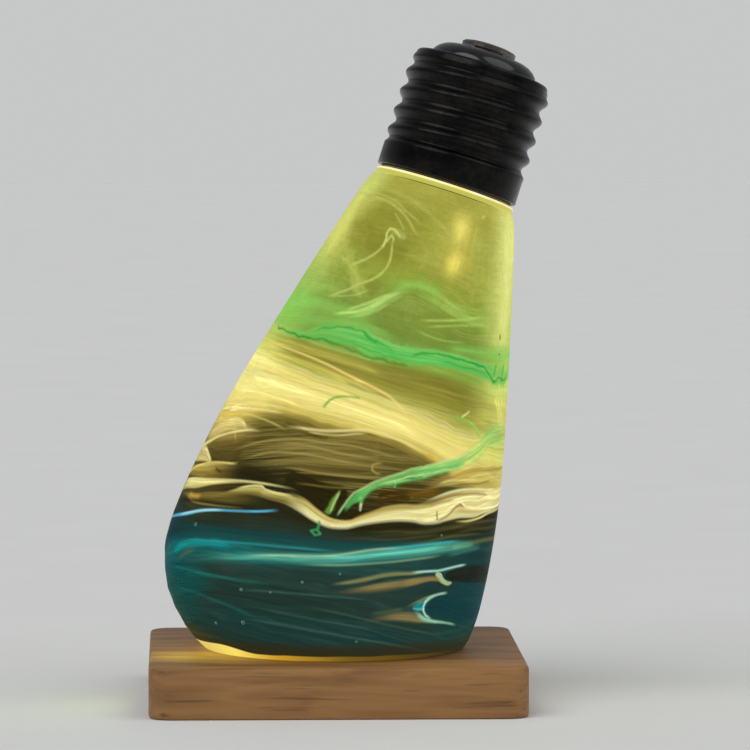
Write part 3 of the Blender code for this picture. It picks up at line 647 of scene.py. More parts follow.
def paint_band(stroke, sheaf, sheet):
    middle = [(-0.95, 33.6), (-0.85, 34), (-0.7, 33.2), (-0.6, 32.2), (-0.4, 31.6), (-0.2, 32.1), (0, 32),
            (0.1, 31.9), (0.2, 31), (0.4, 30.4), (0.6, 30), (0.75, 30.2), (0.84, 30.9), (0.92, 30),
            (1.05, 28)]
    widths = [0.4, 0.9, 2.6, 4, 5, 5, 3.8, 3.6, 3.6, 3.2, 3, 3.2, 3.6, 4, 3.6]
    stroke([(0, 33), (0.3, 32.3), (0.6, 31.9), (0.8, 32.2)], 4, (128, 176, 74), 0.7, 0)
    stroke([(-0.9, 31), (-0.6, 30.2), (-0.3, 29.6), (0, 30)], 4, (134, 200, 92), 0.55, 0, streaks=0.5)
    stroke(middle, widths, (112, 188, 86), 0.9, 0.45, rough=0.35, streaks=0.3, fade=0.03, raised=0.15)
    sheaf([(-0.7, 33), (-0.4, 30.2), (0, 30.8), (0.4, 29.4), (0.97, 28.2)], [(-0.8, 34), (-0.4, 33.4),
            (0, 33.2), (0.4, 31.6), (0.97, 31)], 34, 0.55, [(52, 172, 70), (150, 212, 114)], 0.7)
    stroke([(-0.75, 34.6), (-0.5, 34.7), (-0.15, 34.5), (0, 34)], 2, (160, 196, 96), 0.6, 0)
    edge = (30, 146, 52)
    stroke([(-0.97, 33.5), (-0.85, 34), (-0.72, 34.1), (-0.6, 33.7), (-0.4, 33.9), (-0.2, 34.2),
            (-0.1, 33.8), (0.04, 33.8), (0.12, 33.2)], 0.6, edge, 0.9, 0.3, rough=0.4, wiggle=0.22,
            fade=0.06)
    stroke([(0.08, 32), (0.2, 30.5), (0.35, 29.8), (0.5, 29.6), (0.7, 29.5), (0.78, 30.3), (0.84, 31.5),
            (0.88, 30.2), (0.93, 30.6), (0.97, 29)], 0.6, edge, 0.9, 0.3, rough=0.4, wiggle=0.12,
            fade=0.06)
    stroke([(-0.72, 33), (-0.6, 31.3), (-0.5, 30.5), (-0.38, 30.1), (-0.27, 30.7), (-0.12, 31.5),
            (0, 32.3)], 0.5, (44, 160, 62), 0.8, 0.2, rough=0.4, wiggle=0.2)
    stroke([(-0.55, 32.3), (-0.35, 32.7), (-0.15, 33), (0.1, 32.6)], 0.45, (60, 172, 70), 0.7, 0.2,
            wiggle=0.2)
    stroke([(-0.34, 29.9), (-0.28, 30.9), (-0.17, 31.8)], 0.5, (44, 160, 62), 0.7, 0.2, wiggle=0.1)
    stroke([(0.3, 30.9), (0.5, 30.8), (0.7, 30.5), (0.8, 31.2)], 0.45, (44, 160, 62), 0.6, 0.2,
            wiggle=0.15)
    stroke([(0.82, 31), (0.84, 29.2), (0.85, 27.8)], 0.9, (56, 166, 66), 0.7, 0.2, rough=0.4, wiggle=0.1)
    stroke([(0.9, 31.4), (0.91, 29.6), (0.93, 27.5)], 0.9, (56, 166, 66), 0.7, 0.2, rough=0.4, wiggle=0.1)


def paint_olive(stroke, sheaf, sheet):
    sheaf([(-1, 35), (-0.5, 35.2), (0, 34.9), (0.5, 33.7), (1, 33.5)], [(-1, 39.5), (-0.5, 40), (0, 40.4),
            (0.5, 41.2), (1, 40)], 24, 0.9, [(112, 106, 34), (186, 178, 84)], 0.4)
    stroke([(-0.95, 36), (-0.55, 36), (-0.2, 36.2), (0, 36.6)], 2.6, (186, 178, 80), 0.65, 0)
    stroke([(-0.95, 38.5), (-0.5, 39.2), (-0.2, 40)], 2.2, (204, 196, 92), 0.5, 0)
    stroke([(-0.97, 36.5), (-0.6, 37.3), (-0.3, 38.4), (0, 39.6), (0.14, 41.2), (0.22, 42.6),
            (0.31, 43.8)], [0.6, 0.7, 0.7, 0.8, 0.7, 0.6, 0.3], (238, 208, 118), 0.9, 0.2, fade=0.06)
    stroke([(-0.97, 37.9), (-0.5, 38.6), (-0.1, 40), (0.1, 41.5)], 1.2, (222, 200, 102), 0.5, 0)
    stroke([(0.02, 39.8), (0.3, 41.2), (0.5, 42.2)], 0.6, (214, 196, 100), 0.5)
    stroke([(0.59, 39.5), (0.66, 37.7)], 0.5, (230, 226, 150), 0.8, 0.2)
    stroke([(0.86, 33), (0.92, 36), (0.95, 40)], 4.5, (222, 214, 116), 0.6, 0)


def paint_yellow(stroke, sheaf, sheet):
    sheaf([(-1, 41.2), (-0.5, 41.6), (0, 42.3), (0.3, 43.2), (0.6, 43.8)], [(-1, 47), (-0.5, 46.4),
            (0, 45.8), (0.5, 46.8)], 12, 1.2, [(254, 242, 154), (226, 204, 108)])
    stroke([(-0.97, 43.4), (-0.5, 43.6), (0, 44), (0.4, 45)], 2.2, (255, 245, 160), 0.7, 0)
    stroke([(-0.92, 41.9), (-0.6, 42.3), (-0.3, 42.8)], 0.5, (212, 194, 98), 0.6)
    stroke([(-0.8, 42.8), (-0.5, 43.2), (-0.2, 43.3)], 0.4, (224, 204, 108), 0.5)
    stroke([(-0.395, 45.3), (-0.375, 43.7), (-0.33, 42.6), (-0.26, 42), (-0.17, 41.6)], [1.0, 0.7, 0.7,
            0.6, 0.4], (112, 162, 58), 0.95, 0.2, fade=0.05)
    stroke([(0.39, 47.6), (0.45, 47.7)], 1.2, (222, 168, 40), 0.85, 0)
    stroke([(0.5, 39.6), (0.66, 39.8), (0.74, 40.8), (0.78, 42.4)], 1.4, (146, 188, 82))


def paint_gap(stroke, sheaf, sheet):
    strand, cream = (172, 156, 88), (240, 222, 138)
    stroke([(-0.5, 58.7), (-0.2, 59.2), (0, 58)], 6, (34, 28, 8), 0.75, 0)
    stroke([(0.1, 57.6), (0.25, 56), (0.42, 54.4), (0.55, 52.6)], 2.6, (70, 46, 8), 0.85)
    stroke([(-0.62, 49.3), (-0.4, 50.2), (-0.25, 50)], 2, (80, 64, 20), 0.6, 0)
    sheaf([(-0.55, 50.4), (-0.25, 48.5), (0, 47), (0.2, 47.2), (0.42, 48.6)], [(-0.4, 52), (-0.1, 50.2),
            (0.1, 49.4), (0.42, 50.2)], 20, 0.4, [(168, 148, 74), (70, 56, 18)], 0.6)
    stroke([(-0.6, 50.4), (-0.35, 49.1), (-0.2, 47.9), (-0.1, 46.9), (0, 46.4), (0.2, 46.6), (0.35, 47.3),
            (0.43, 48.2)], 0.9, (240, 224, 150), 0.75)
    stroke([(-0.45, 50.2), (-0.25, 49.2), (-0.12, 47.8), (-0.03, 47)], 0.6, cream, 0.6)
    sheaf([(-0.87, 58.5), (-0.75, 55), (-0.55, 52.3), (-0.3, 51), (-0.05, 49.9), (0.3, 49.2)],
            [(-0.6, 59.5), (-0.4, 57.2), (-0.1, 55.6), (0.1, 53.9), (0.38, 51.6)], 44, 0.36,
            [(156, 138, 72), (84, 72, 28)])
    stroke([(-0.87, 58.4), (-0.7, 54.5), (-0.5, 52), (-0.3, 51), (-0.1, 50), (0.3, 49.4)], 0.5, strand)
    stroke([(-0.75, 58.2), (-0.6, 55.5), (-0.4, 54), (-0.2, 53.3), (0, 52.6)], 0.45, strand)
    stroke([(-0.6, 53.5), (-0.4, 52.4), (-0.1, 51.7), (0.1, 50.6)], 0.5, strand, 0.6)
    stroke([(-0.5, 57.2), (-0.2, 56), (0.06, 54.4), (0.2, 52.8)], 0.45, strand, 0.6)
    stroke([(-0.4, 59.3), (-0.15, 58), (0.02, 56.5)], 0.5, (120, 104, 48), 0.6)
    stroke([(0.12, 51.3), (0.055, 51.9), (0.05, 52.9), (0.09, 53.4), (0.13, 53.1)], 0.45, strand, 0.75,
            0.2)
    for below in (47.4, 48.3, 49.2):
        stroke([(-0.02, below), (0.05, below + 1.2), (0.07, below + 2.8)], 0.4, (130, 112, 54), 0.5)
    paint_lobes(stroke, sheaf, sheet)


def paint_lobes(stroke, sheaf, sheet):
    cream, gold = (246, 234, 158), (232, 214, 128)
    sheet([(-1.1, 50), (-0.97, 48.6), (-0.9, 47.8), (-0.75, 47), (-0.5, 46.6)], [(-1.1, 54),
            (-0.97, 52.6), (-0.9, 51.8), (-0.75, 50.6), (-0.5, 49)], [(240, 224, 136), (214, 192, 100),
            (176, 152, 70)], 0.8, 1.2, 0.5)
    sheet([(-1.1, 52.6), (-0.98, 51.6), (-0.9, 51.2), (-0.8, 51.6), (-0.68, 52.2)], [(-1.1, 60),
            (-0.98, 58), (-0.92, 55), (-0.82, 53.8), (-0.68, 53)], [(200, 178, 96), (232, 214, 136),
            (190, 168, 92)], 0.85, 0.8, 0.4, 0.5)
    sheet([(-0.99, 57.4), (-0.95, 55.6), (-0.86, 53.8), (-0.78, 52.7), (-0.66, 52)], [(-0.99, 58),
            (-0.94, 59.2), (-0.9, 60), (-0.8, 59.4), (-0.66, 57.6)], [(164, 142, 74), (112, 94, 42),
            (78, 66, 30), (62, 54, 24)], 0.92, 0.4, 0.45)
    sheet([(-1.12, 59), (-1, 57.6), (-0.97, 58), (-0.91, 60)], [(-1.12, 63), (-1, 61.4), (-0.96, 60.6),
            (-0.91, 60.4)], [(246, 234, 160), (206, 188, 110)], 0.9, 0.3, 0.04, 0.5)
    sheet([(-1.12, 64.4), (-1, 62), (-0.94, 60.6), (-0.88, 59.8), (-0.78, 59.2), (-0.72, 58.8)],
            [(-1.12, 66), (-1, 64), (-0.9, 63.2), (-0.82, 62.5), (-0.75, 62), (-0.7, 61.4)],
            [(224, 204, 112), (180, 154, 66), (136, 114, 46)], 0.92, 0.35, 0.45, 0.5, 0.2)
    stroke([(-0.88, 60.9), (-0.85, 61.2), (-0.82, 61.4)], 1.1, (58, 48, 18), 0.85, 0, fade=0.3)
    sheet([(-1.12, 65.6), (-0.99, 64), (-0.88, 63.1), (-0.8, 62.4), (-0.7, 61.7), (-0.55, 60.9)],
            [(-1.12, 68), (-0.99, 66.2), (-0.93, 65.4), (-0.85, 64), (-0.7, 62.3), (-0.55, 61.3)],
            [(250, 238, 158), (250, 240, 160), (170, 148, 70)], 0.95, 0.3, 0.4, 0.2, 0.3)
    stroke([(-0.94, 65.9), (-0.86, 64.6), (-0.76, 63.3), (-0.66, 62.4)], 0.8, (74, 60, 22), 0.85)
    sheet([(-1, 66.4), (-0.93, 66), (-0.85, 65), (-0.75, 64), (-0.65, 63), (-0.5, 62)], [(-1, 67),
            (-0.93, 67.7), (-0.85, 67.4), (-0.7, 66.3), (-0.5, 64.8), (-0.4, 64)], [(150, 130, 60),
            (118, 102, 46), (96, 86, 40)], 0.9, 0.5, 0.35, 0.5)
    stroke([(-0.965, 66.6), (-0.93, 66.8), (-0.88, 66.4)], 1.6, (206, 164, 72), 0.8, 0, fade=0.3)
    stroke([(-0.98, 66.4), (-0.95, 67.2), (-0.91, 67.7), (-0.8, 67.2), (-0.6, 66)], 0.45, (168, 152, 84),
            0.8)
    stroke([(-1.05, 51.4), (-0.97, 50.2), (-0.92, 49), (-0.86, 48.2), (-0.74, 47.5), (-0.58, 47.1)], 0.6,
            cream, 0.85)
    stroke([(-0.97, 50.8), (-0.93, 49.9), (-0.88, 49.5), (-0.76, 48.7), (-0.6, 48.1)], [1.6, 1.8, 1.1,
            0.6, 0.4], cream, 0.8)
    stroke([(-0.92, 50.3), (-0.84, 50.2), (-0.7, 50.3), (-0.55, 50.9)], 0.4, (214, 196, 112))
    stroke([(-0.94, 52.4), (-0.89, 51.6), (-0.84, 51.8), (-0.8, 52.8)], [0.5, 1, 1, 0.5], cream, 0.8)
    stroke([(-0.92, 52.6), (-0.88, 53.2), (-0.85, 54.4), (-0.82, 56)], [0.6, 1.3, 0.8, 0.6],
            (206, 186, 106), 0.5, 0, fade=0.4)
    stroke([(-1, 58.4), (-0.97, 56.6), (-0.94, 55.5), (-0.9, 54.6), (-0.86, 53.9), (-0.78, 52.8),
            (-0.7, 52.3)], [1, 0.9, 0.7, 0.6, 0.5, 0.45, 0.3], cream, 0.9, 0.2, raised=0.2)
    stroke([(-0.985, 57.7), (-0.965, 58.5), (-0.94, 59.3), (-0.915, 60)], 0.7, cream, 0.85, fade=0.25)
    stroke([(-1.05, 64), (-0.99, 62.1), (-0.94, 60.7), (-0.88, 59.9), (-0.78, 59.2), (-0.755, 58.6)],
            0.55, gold, 0.95, 0.2, fade=0.1, raised=0.2)
    stroke([(-1.05, 64.7), (-0.96, 63.7), (-0.88, 63.1), (-0.7, 61.7), (-0.55, 60.9), (-0.35, 60.2)], 0.5,
            cream, 0.85)
    sheet([(-0.78, 64.4), (-0.68, 62.7), (-0.6, 61.7), (-0.565, 61.5), (-0.54, 61.9), (-0.4, 61.4),
            (-0.25, 61.9)], [(-0.78, 64.8), (-0.68, 64), (-0.6, 63.6), (-0.5, 63.5), (-0.4, 63.4),
            (-0.25, 64)], [(204, 192, 112), (176, 162, 86), (128, 116, 56)], 0.92, 0.3, 0.2, 0.5, 0.3)
    stroke([(-0.72, 63.4), (-0.63, 62), (-0.57, 61.5), (-0.545, 61.9), (-0.45, 61.8), (-0.35, 61.3)], 0.4,
            cream, 0.8)


def paint_ridge(stroke, sheaf, sheet):
    # The cream ridge gets painted light and shade: a shadow under it, highlights along it and shade in its
    # creases.
    bright, gold, brown = (255, 251, 190), (238, 222, 138), (124, 98, 42)
    # Painted shadow under the ridge.
    stroke([(-0.12, 65), (0.1, 63.5), (0.3, 61.6), (0.5, 60), (0.7, 57.6), (0.9, 54.8), (1.05, 53)], 2.4,
            (34, 28, 8), 0.85, 0)
    sheaf([(-0.1, 65.6), (0.2, 62.8), (0.5, 60), (0.8, 56.2), (1.05, 53.2)], [(-0.1, 68), (0.2, 65),
            (0.5, 62.2), (0.8, 58.6), (1.05, 55.8)], 16, 0.6, [(28, 26, 10), (98, 94, 50)], 0.7)
    sheet([(0.36, 54.5), (0.5, 50.6), (0.6, 49), (0.7, 47), (0.8, 45.8), (0.9, 45.2), (1.1, 44)],
            [(0.36, 55.5), (0.5, 53), (0.6, 51.8), (0.7, 51), (0.8, 50.2), (0.9, 48.8), (1.1, 47)],
            [(216, 200, 114), (150, 124, 52), (206, 188, 104), (170, 146, 68)], 0.9, 0.7, 0.25, 0.5)
    stroke([(0.3, 55.8), (0.42, 54.4), (0.55, 52.8)], 2.6, (122, 94, 30), 0.7, 0, fade=0.3)
    stroke([(0.12, 58.8), (0.2, 57.2), (0.3, 56), (0.38, 55.6)], 1.6, (70, 52, 14), 0.7, 0)
    top = [(-0.42, 60.7), (-0.3, 61.1), (-0.2, 62.2), (-0.1, 63), (0, 62.5), (0.05, 61.5), (0.1, 60.4),
            (0.15, 59.3), (0.2, 58.3), (0.3, 57), (0.4, 56.2), (0.5, 54.7), (0.6, 52.6), (0.7, 51.1),
            (0.8, 50.2), (0.9, 48.6), (1.1, 46.6)]
    low = [(-0.42, 63), (-0.3, 63.6), (-0.2, 64.3), (-0.1, 64.6), (0, 63.9), (0.05, 63.1), (0.1, 62.3),
            (0.2, 61), (0.3, 59.9), (0.4, 59.2), (0.47, 59), (0.55, 58.3), (0.62, 57.3), (0.7, 56.2),
            (0.8, 55.3), (0.9, 53.6), (1.1, 50.2)]
    sheet(top, low, [(176, 154, 82), (206, 188, 110), (236, 222, 144), (252, 244, 176), (232, 216, 136)],
            0.97, 0.3, 0.1, 0.3, 0.5)
    # Painted highlight along the ridge's lower edge.
    stroke(low, [0.5, 0.8, 1, 1, 1, 1, 1, 1, 1.1, 1.1, 1.1, 1, 0.8, 0.7, 0.8, 1.1, 1.4], bright, 0.6,
            fade=0.1)
    # Painted highlights across the ridge's upper part.
    sheaf([(0.1, 61.2), (0.3, 58), (0.5, 55.8), (0.62, 53), (0.8, 50.8), (1.04, 48)], [(0.12, 62),
            (0.35, 59.4), (0.5, 57.8), (0.65, 55.6), (0.8, 54.2), (1.04, 51.4)], 22, 0.5, [bright,
            (200, 176, 96)], 0.6)
    # Painted shade in the ridge's creases: this thin brown line and the next.
    stroke([(0.02, 62.2), (0.12, 60.2), (0.22, 58.6), (0.34, 57.3), (0.42, 56.8)], 0.4, (150, 124, 56))
    stroke([(0.42, 56.4), (0.47, 55.6), (0.53, 54.6), (0.6, 53.3), (0.68, 52.3), (0.76, 51.5),
            (0.88, 50.8)], 0.6, brown, 0.9, fade=0.12)
    # Painted highlight along a fold of the ridge.
    stroke([(0.43, 55.8), (0.5, 54.5), (0.6, 52.6), (0.7, 51.3), (0.8, 50.5), (0.95, 49.3)], 0.6, bright,
            0.85)
    # Painted shade in a crease.
    stroke([(0.46, 56.3), (0.52, 55.2), (0.58, 54.3), (0.64, 53.4)], 0.4, brown, 0.75)
    stroke([(0.6, 51.4), (0.7, 50.4), (0.8, 49.6), (0.9, 48.2)], 0.5, (120, 98, 40), 0.8)
    stroke([(0.5, 52), (0.6, 50.5), (0.7, 49.7), (0.8, 48.8)], 0.45, (246, 230, 150), 0.75)
    sheet([(0.58, 56), (0.64, 54.6), (0.69, 53.9), (0.76, 54), (0.88, 52.8), (1.08, 50)], [(0.58, 57.4),
            (0.64, 56.4), (0.7, 55.6), (0.8, 54.8), (0.9, 53.2), (1.08, 50.4)], [(150, 122, 56),
            (206, 182, 104), (120, 98, 44)], 0.85, 0.25, 0.15, 0.5)
    # Painted highlight along the ridge's lower fold.
    stroke([(0.44, 58.9), (0.5, 58.3), (0.56, 57), (0.6, 55.8), (0.64, 54.5), (0.67, 53.6), (0.69, 53.6),
            (0.73, 54.2), (0.82, 53.7), (0.92, 52.7), (1.05, 51)], 0.6, (255, 248, 184), 0.95, 0.2,
            fade=0.06, raised=0.2)
    # Painted shade in a crease.
    stroke([(0.55, 58.1), (0.61, 56.6), (0.65, 55), (0.68, 54), (0.705, 54.3)], 0.4, (124, 100, 44), 0.85,
            fade=0.1)
    sheet([(0.58, 58), (0.7, 56.4), (0.8, 55.5), (0.88, 54.3)], [(0.58, 58.4), (0.7, 57.3), (0.8, 56.5),
            (0.88, 55)], [(40, 34, 14), (76, 64, 28), (34, 32, 18)], 0.9, 0.2, 0.1)
    stroke([(0.66, 57.3), (0.76, 56.5), (0.85, 55.2), (0.92, 53.8), (1.04, 51.8)], 0.6, gold, 0.9)
    stroke([(0.535, 56.3), (0.54, 57.3), (0.55, 58)], 0.3, (110, 84, 34), 0.9, fade=0.1)
    stroke([(-0.12, 63.4), (0, 63), (0.06, 61.9), (0.12, 60.7), (0.2, 59.4)], 0.5, (210, 186, 104))
    stroke([(-0.4, 62), (-0.28, 62.3), (-0.14, 63.6), (-0.02, 63.4)], 0.5, (170, 146, 74))


def paint_ribbon(stroke, sheaf, sheet):
    stroke([(0.97, 39.3), (0.85, 41), (0.78, 43.6), (0.7, 45.7), (0.6, 47.6), (0.46, 49.8), (0.3, 52)],
            [5, 5, 4, 3.2, 2.8, 2.4, 2], (148, 202, 108), 0.88, 0.3, rough=0.15, streaks=0.4, fade=0.1)
    top = [(-0.075, 62.6), (-0.05, 60.4), (-0.02, 58.2), (0.02, 56.8), (0.1, 54.8), (0.2, 52.8),
            (0.3, 51), (0.4, 49.5), (0.5, 48), (0.6, 46.6), (0.7, 44.8)]
    low = [(-0.045, 62.6), (-0.025, 61), (0.01, 59.6), (0.05, 58.6), (0.08, 57), (0.14, 55.3),
            (0.2, 54.7), (0.27, 53.6), (0.36, 52.4), (0.5, 50.2), (0.6, 48.8), (0.7, 47.2)]
    sheet(top, low, [(150, 208, 112), (112, 190, 98), (136, 204, 112)], 0.93, 0.3, 0.12, 0.35, 0.3)
    for across, size in ((0.045, 1.9), (0.13, 1.0), (0.225, 1.3)):
        start = np.interp(across, *np.array(low).T) - 0.7
        stroke([(across - 0.02, start), (across, start + 0.5), (across + 0.004, start + size)], [1.8, 1.2,
                0.5], (104, 184, 94), 0.85, fade=0.05)
    stroke([(-0.04, 61.4), (-0.01, 59), (0.03, 57.6), (0.08, 56)], 1.2, (72, 184, 92), 0.8)
    stroke([(0.24, 53.2), (0.29, 52.5), (0.36, 51.5)], 0.7, (40, 116, 58), 0.85, 0.2)
    stroke([(0.3, 52.6), (0.36, 51.9), (0.4, 51.3)], 0.45, (30, 100, 48), 0.85)
    stroke([(0.39, 50.9), (0.44, 50.6), (0.46, 49.9)], 0.4, (60, 130, 70), 0.8)
    stroke(top, 0.4, (186, 228, 146), 0.75, wiggle=0.12, fade=0.04)
    stroke(low[2:-1], 0.4, (52, 134, 64), 0.85, wiggle=0.15, fade=0.1)
    stroke([(0.06, 56.4), (0.15, 54.2), (0.25, 52.5), (0.38, 50.4), (0.52, 48.6)], 0.4, (84, 160, 84),
            wiggle=0.2)
    stroke([(0.1, 55.6), (0.2, 53.8), (0.33, 51.9), (0.5, 49.6), (0.62, 47.8)], 0.4, (196, 228, 150),
            wiggle=0.2)
    stroke([(0.05, 59), (0.056, 60.6)], 0.35, (230, 226, 190), 0.7, 0.2)
    stroke([(-0.1, 58), (-0.12, 60.2), (-0.14, 62.9)], [0.3, 1.4, 1.8], (108, 160, 68), 0.85, 0.2,
            rough=0.3, streaks=0.6, fade=0.1)
    stroke([(-0.1, 58.2), (-0.115, 60.5), (-0.12, 62.6)], 0.35, (176, 206, 122), 0.8, 0.2)
    stroke([(-0.165, 64.1), (-0.16, 65.8)], 0.7, (58, 150, 84), 0.9, 0.3, fade=0.1)
    ring = [(-0.165 + 0.032 * math.cos(turn), 66.3 + 0.5 * math.sin(turn)) for turn in np.linspace(0, 2 *
            math.pi, 17)]
    stroke(ring, 0.45, (64, 160, 96), 0.9, fade=0.01)


def paint_blues(stroke, sheaf, sheet):
    teal, cyan = (18, 108, 108), (84, 164, 140)
    stroke([(-1.04, 78), (-0.9, 75.4), (-0.75, 74), (-0.5, 73), (-0.2, 71.6)], 6, teal, 0.7, 0,
            streaks=0.4)
    stroke([(-1.02, 68.6), (-0.85, 67), (-0.6, 66.2), (-0.3, 65.6)], 1.6, (26, 22, 10), 0.7, 0)
    sheaf([(-1, 72.5), (-0.7, 70.4), (-0.4, 68.6), (0, 66.6), (0.4, 62.8), (0.8, 58.8)], [(-1, 75),
            (-0.7, 72.4), (-0.4, 70.4), (0, 68), (0.4, 64), (0.8, 60)], 14, 0.8, [(24, 84, 84),
            (22, 50, 48)], 0.6)
    stroke([(-0.97, 76.8), (-0.88, 75), (-0.8, 74), (-0.7, 73.2), (-0.58, 72.8)], 1.9, (22, 158, 158),
            0.8, 0, rough=0.3, streaks=0.6)
    stroke([(-0.93, 78), (-0.87, 76), (-0.8, 75.2)], [1, 2, 1], (74, 96, 62), 0.6, 0, fade=0.3)
    stroke([(-0.95, 76.2), (-0.87, 74.2), (-0.75, 73.2), (-0.65, 72.5), (-0.45, 71.2), (-0.2, 69.6),
            (0.05, 68)], 0.7, (40, 150, 150), 0.75)
    sheaf([(-0.9, 76.6), (-0.6, 73.6), (-0.3, 71.2), (0, 68.6), (0.3, 65.2), (0.6, 61.8), (0.9, 58.6)],
            [(-0.9, 79), (-0.6, 75.6), (-0.3, 73), (0, 70.8), (0.3, 67.2), (0.6, 63.6), (0.9, 60)], 18,
            0.8, [(70, 150, 134), (30, 96, 92)], 0.6)
    stroke([(-0.8, 76.6), (-0.6, 74.9), (-0.4, 72.9), (-0.2, 71.4), (0, 69.5), (0.2, 67), (0.4, 64.8),
            (0.6, 62.4), (0.75, 60.8), (0.92, 58.8)], [0.6, 1, 1.4, 2.2, 2.6, 2.8, 3, 2.8, 2.2, 0.8],
            cyan, 0.8, 0.2, streaks=0.55)
    stroke([(-0.12, 70.6), (0.1, 68.5), (0.3, 66), (0.5, 63.7), (0.68, 61.5)], 0.9, (104, 210, 190), 0.8)
    stroke([(0.2, 66.2), (0.4, 63.9), (0.6, 61.6), (0.75, 60)], 0.6, (60, 186, 190))
    stroke([(-0.55, 74), (-0.3, 71.7), (-0.05, 69.6), (0.2, 66.2), (0.42, 63.9)], 0.6, (168, 196, 150),
            0.65)
    stroke([(-0.2, 72.4), (0.05, 70.3), (0.3, 67.6), (0.5, 65.2), (0.66, 63.2)], 0.5, (150, 190, 150),
            0.6)
    stroke([(0.66, 63.4), (0.78, 61.6), (0.9, 60)], 1.5, (60, 120, 104), 0.7, 0, streaks=0.5)
    stroke([(0.68, 61.9), (0.76, 60.8), (0.84, 59.8)], 1.6, (104, 156, 110), 0.75, 0, streaks=0.4)
    stroke([(0.78, 60.6), (0.9, 58.8), (1.03, 57.4)], 1.2, (108, 104, 56), 0.75, 0)
    stroke([(-1.02, 71.6), (-0.94, 70.2), (-0.86, 68.8), (-0.78, 67.9), (-0.68, 67.1), (-0.55, 66),
            (-0.41, 64.5)], [0.5, 0.9, 0.9, 0.7, 0.6, 0.5, 0.25], (92, 184, 220), 0.95, 0.25, fade=0.08)
    stroke([(-0.97, 70.8), (-0.88, 69.1), (-0.8, 68.1), (-0.72, 67.4)], 0.4, (176, 236, 240), 0.9, 0.2)
    sheet([(0.66, 67.4), (0.78, 66.6), (0.9, 65.6), (1.1, 64)], [(0.6, 71), (0.78, 70.4), (0.9, 69.8),
            (1.1, 69)], [(20, 58, 64), (22, 62, 66)], 0.8, 0.8, 0.3, 0.2)
    sheet([(0.68, 66.1), (0.75, 65), (0.85, 63.6), (1.1, 61)], [(0.68, 66.8), (0.73, 67.4), (0.82, 67),
            (1.1, 64.6)], [(32, 26, 18), (30, 30, 24)], 0.92, 0.25, 0.03, 0.2)
    sheet([(0, 75.4), (0.1, 74), (0.2, 72.5), (0.3, 71), (0.4, 69.7), (0.5, 68.5), (0.6, 67.3),
            (0.64, 67.1), (0.7, 67.8)], [(0, 76.2), (0.1, 75.4), (0.2, 74.4), (0.3, 73.3), (0.4, 72),
            (0.5, 70.4), (0.6, 68.7), (0.66, 68.2), (0.7, 68.1)], [(116, 110, 64), (150, 130, 76),
            (126, 112, 64), (84, 80, 48)], 0.85, 0.8, 0.4, 0.5)
    sheet([(0.4, 69.9), (0.5, 68.6), (0.6, 67.4), (0.64, 67.2), (0.71, 67.9)], [(0.4, 71.6), (0.5, 70.2),
            (0.6, 68.6), (0.66, 68.2), (0.71, 68.2)], [(156, 136, 80), (140, 120, 70)], 0.8, 0.4, 0.3)
    stroke([(0, 74.4), (0.2, 71.6), (0.3, 70), (0.4, 68.8), (0.5, 67.9), (0.58, 67)], [0.6, 1.2, 1.2, 1.1,
            0.9, 0.4], (150, 150, 92), 0.8, 0)
    stroke([(0.2, 72.4), (0.3, 70.7), (0.4, 69.4), (0.5, 68.3), (0.6, 67.1), (0.63, 66.8)], 0.5,
            (26, 44, 34), 0.85)
    stroke([(0.46, 68.1), (0.56, 67), (0.64, 66.2), (0.7, 65.3), (0.76, 64.4), (0.82, 63.6)], [0.4, 0.5,
            0.6, 0.6, 0.4, 0.3], (180, 232, 216), 0.95, fade=0.15)
    sheet([(0.62, 66.5), (0.66, 66.4), (0.68, 67), (0.71, 67.4), (0.75, 67.3)], [(0.62, 67.1),
            (0.65, 67.7), (0.68, 68.2), (0.72, 68.3), (0.75, 67.6)], [(160, 206, 170), (196, 184, 116)],
            0.95, 0.2, 0.1, 0.2)
    stroke([(0.5, 73.9), (0.56, 72.6), (0.61, 71.3), (0.66, 70.4)], [0.4, 1, 0.8, 0.3], (124, 144, 96),
            0.85, 0)
    stroke([(0.3, 76.8), (0.4, 75.6), (0.5, 74.2)], 1.1, (92, 104, 64), 0.6, 0)
    sheet([(0.25, 78), (0.35, 76.4), (0.45, 75), (0.55, 74.1), (0.6, 74.3), (0.66, 74.8), (0.8, 74.3)],
            [(0.25, 79.4), (0.35, 78), (0.45, 77), (0.55, 76.4), (0.62, 76), (0.7, 75.3), (0.8, 74.7)],
            [(120, 116, 74), (146, 126, 78), (96, 90, 56)], 0.85, 0.7, 0.4, 0.5)
    stroke([(0.4, 75), (0.5, 73.7), (0.57, 72.7), (0.6, 72.3)], 0.5, (18, 50, 52), 0.8)
    sheet([(0.54, 73.4), (0.58, 72.2), (0.61, 71.6), (0.64, 71)], [(0.54, 74), (0.58, 74), (0.61, 73.8),
            (0.64, 73.9)], [(40, 150, 150), (0, 132, 144), (90, 180, 160)], 0.95, 0.3, 0.12, 0.2)
    stroke([(0.55, 74), (0.6, 74.5), (0.64, 74.9), (0.7, 74.8), (0.78, 74.4), (0.86, 74.2)], [0.5, 1.3,
            1.2, 0.9, 0.6, 0.3], (138, 190, 158), 0.9)
    sheet([(0.61, 72.6), (0.62, 71.8), (0.64, 71), (0.68, 70.2), (0.72, 69.7), (0.85, 69.6), (1.1, 68)],
            [(0.61, 72.8), (0.62, 73.6), (0.64, 74), (0.68, 74.3), (0.76, 74.3), (0.9, 74), (1.1, 73)],
            [(20, 60, 62), (18, 55, 60), (22, 60, 60)], 0.97, 0.25, 0.01, 0.1)
    stroke([(0.74, 69.3), (0.68, 70.1), (0.64, 70.9), (0.617, 71.7), (0.609, 72.6), (0.616, 73.5),
            (0.64, 74.2), (0.69, 74.6)], [0.3, 0.5, 0.8, 0.9, 0.5, 0.4, 0.6, 0.4], (184, 228, 206), 0.95,
            0.2, fade=0.15)


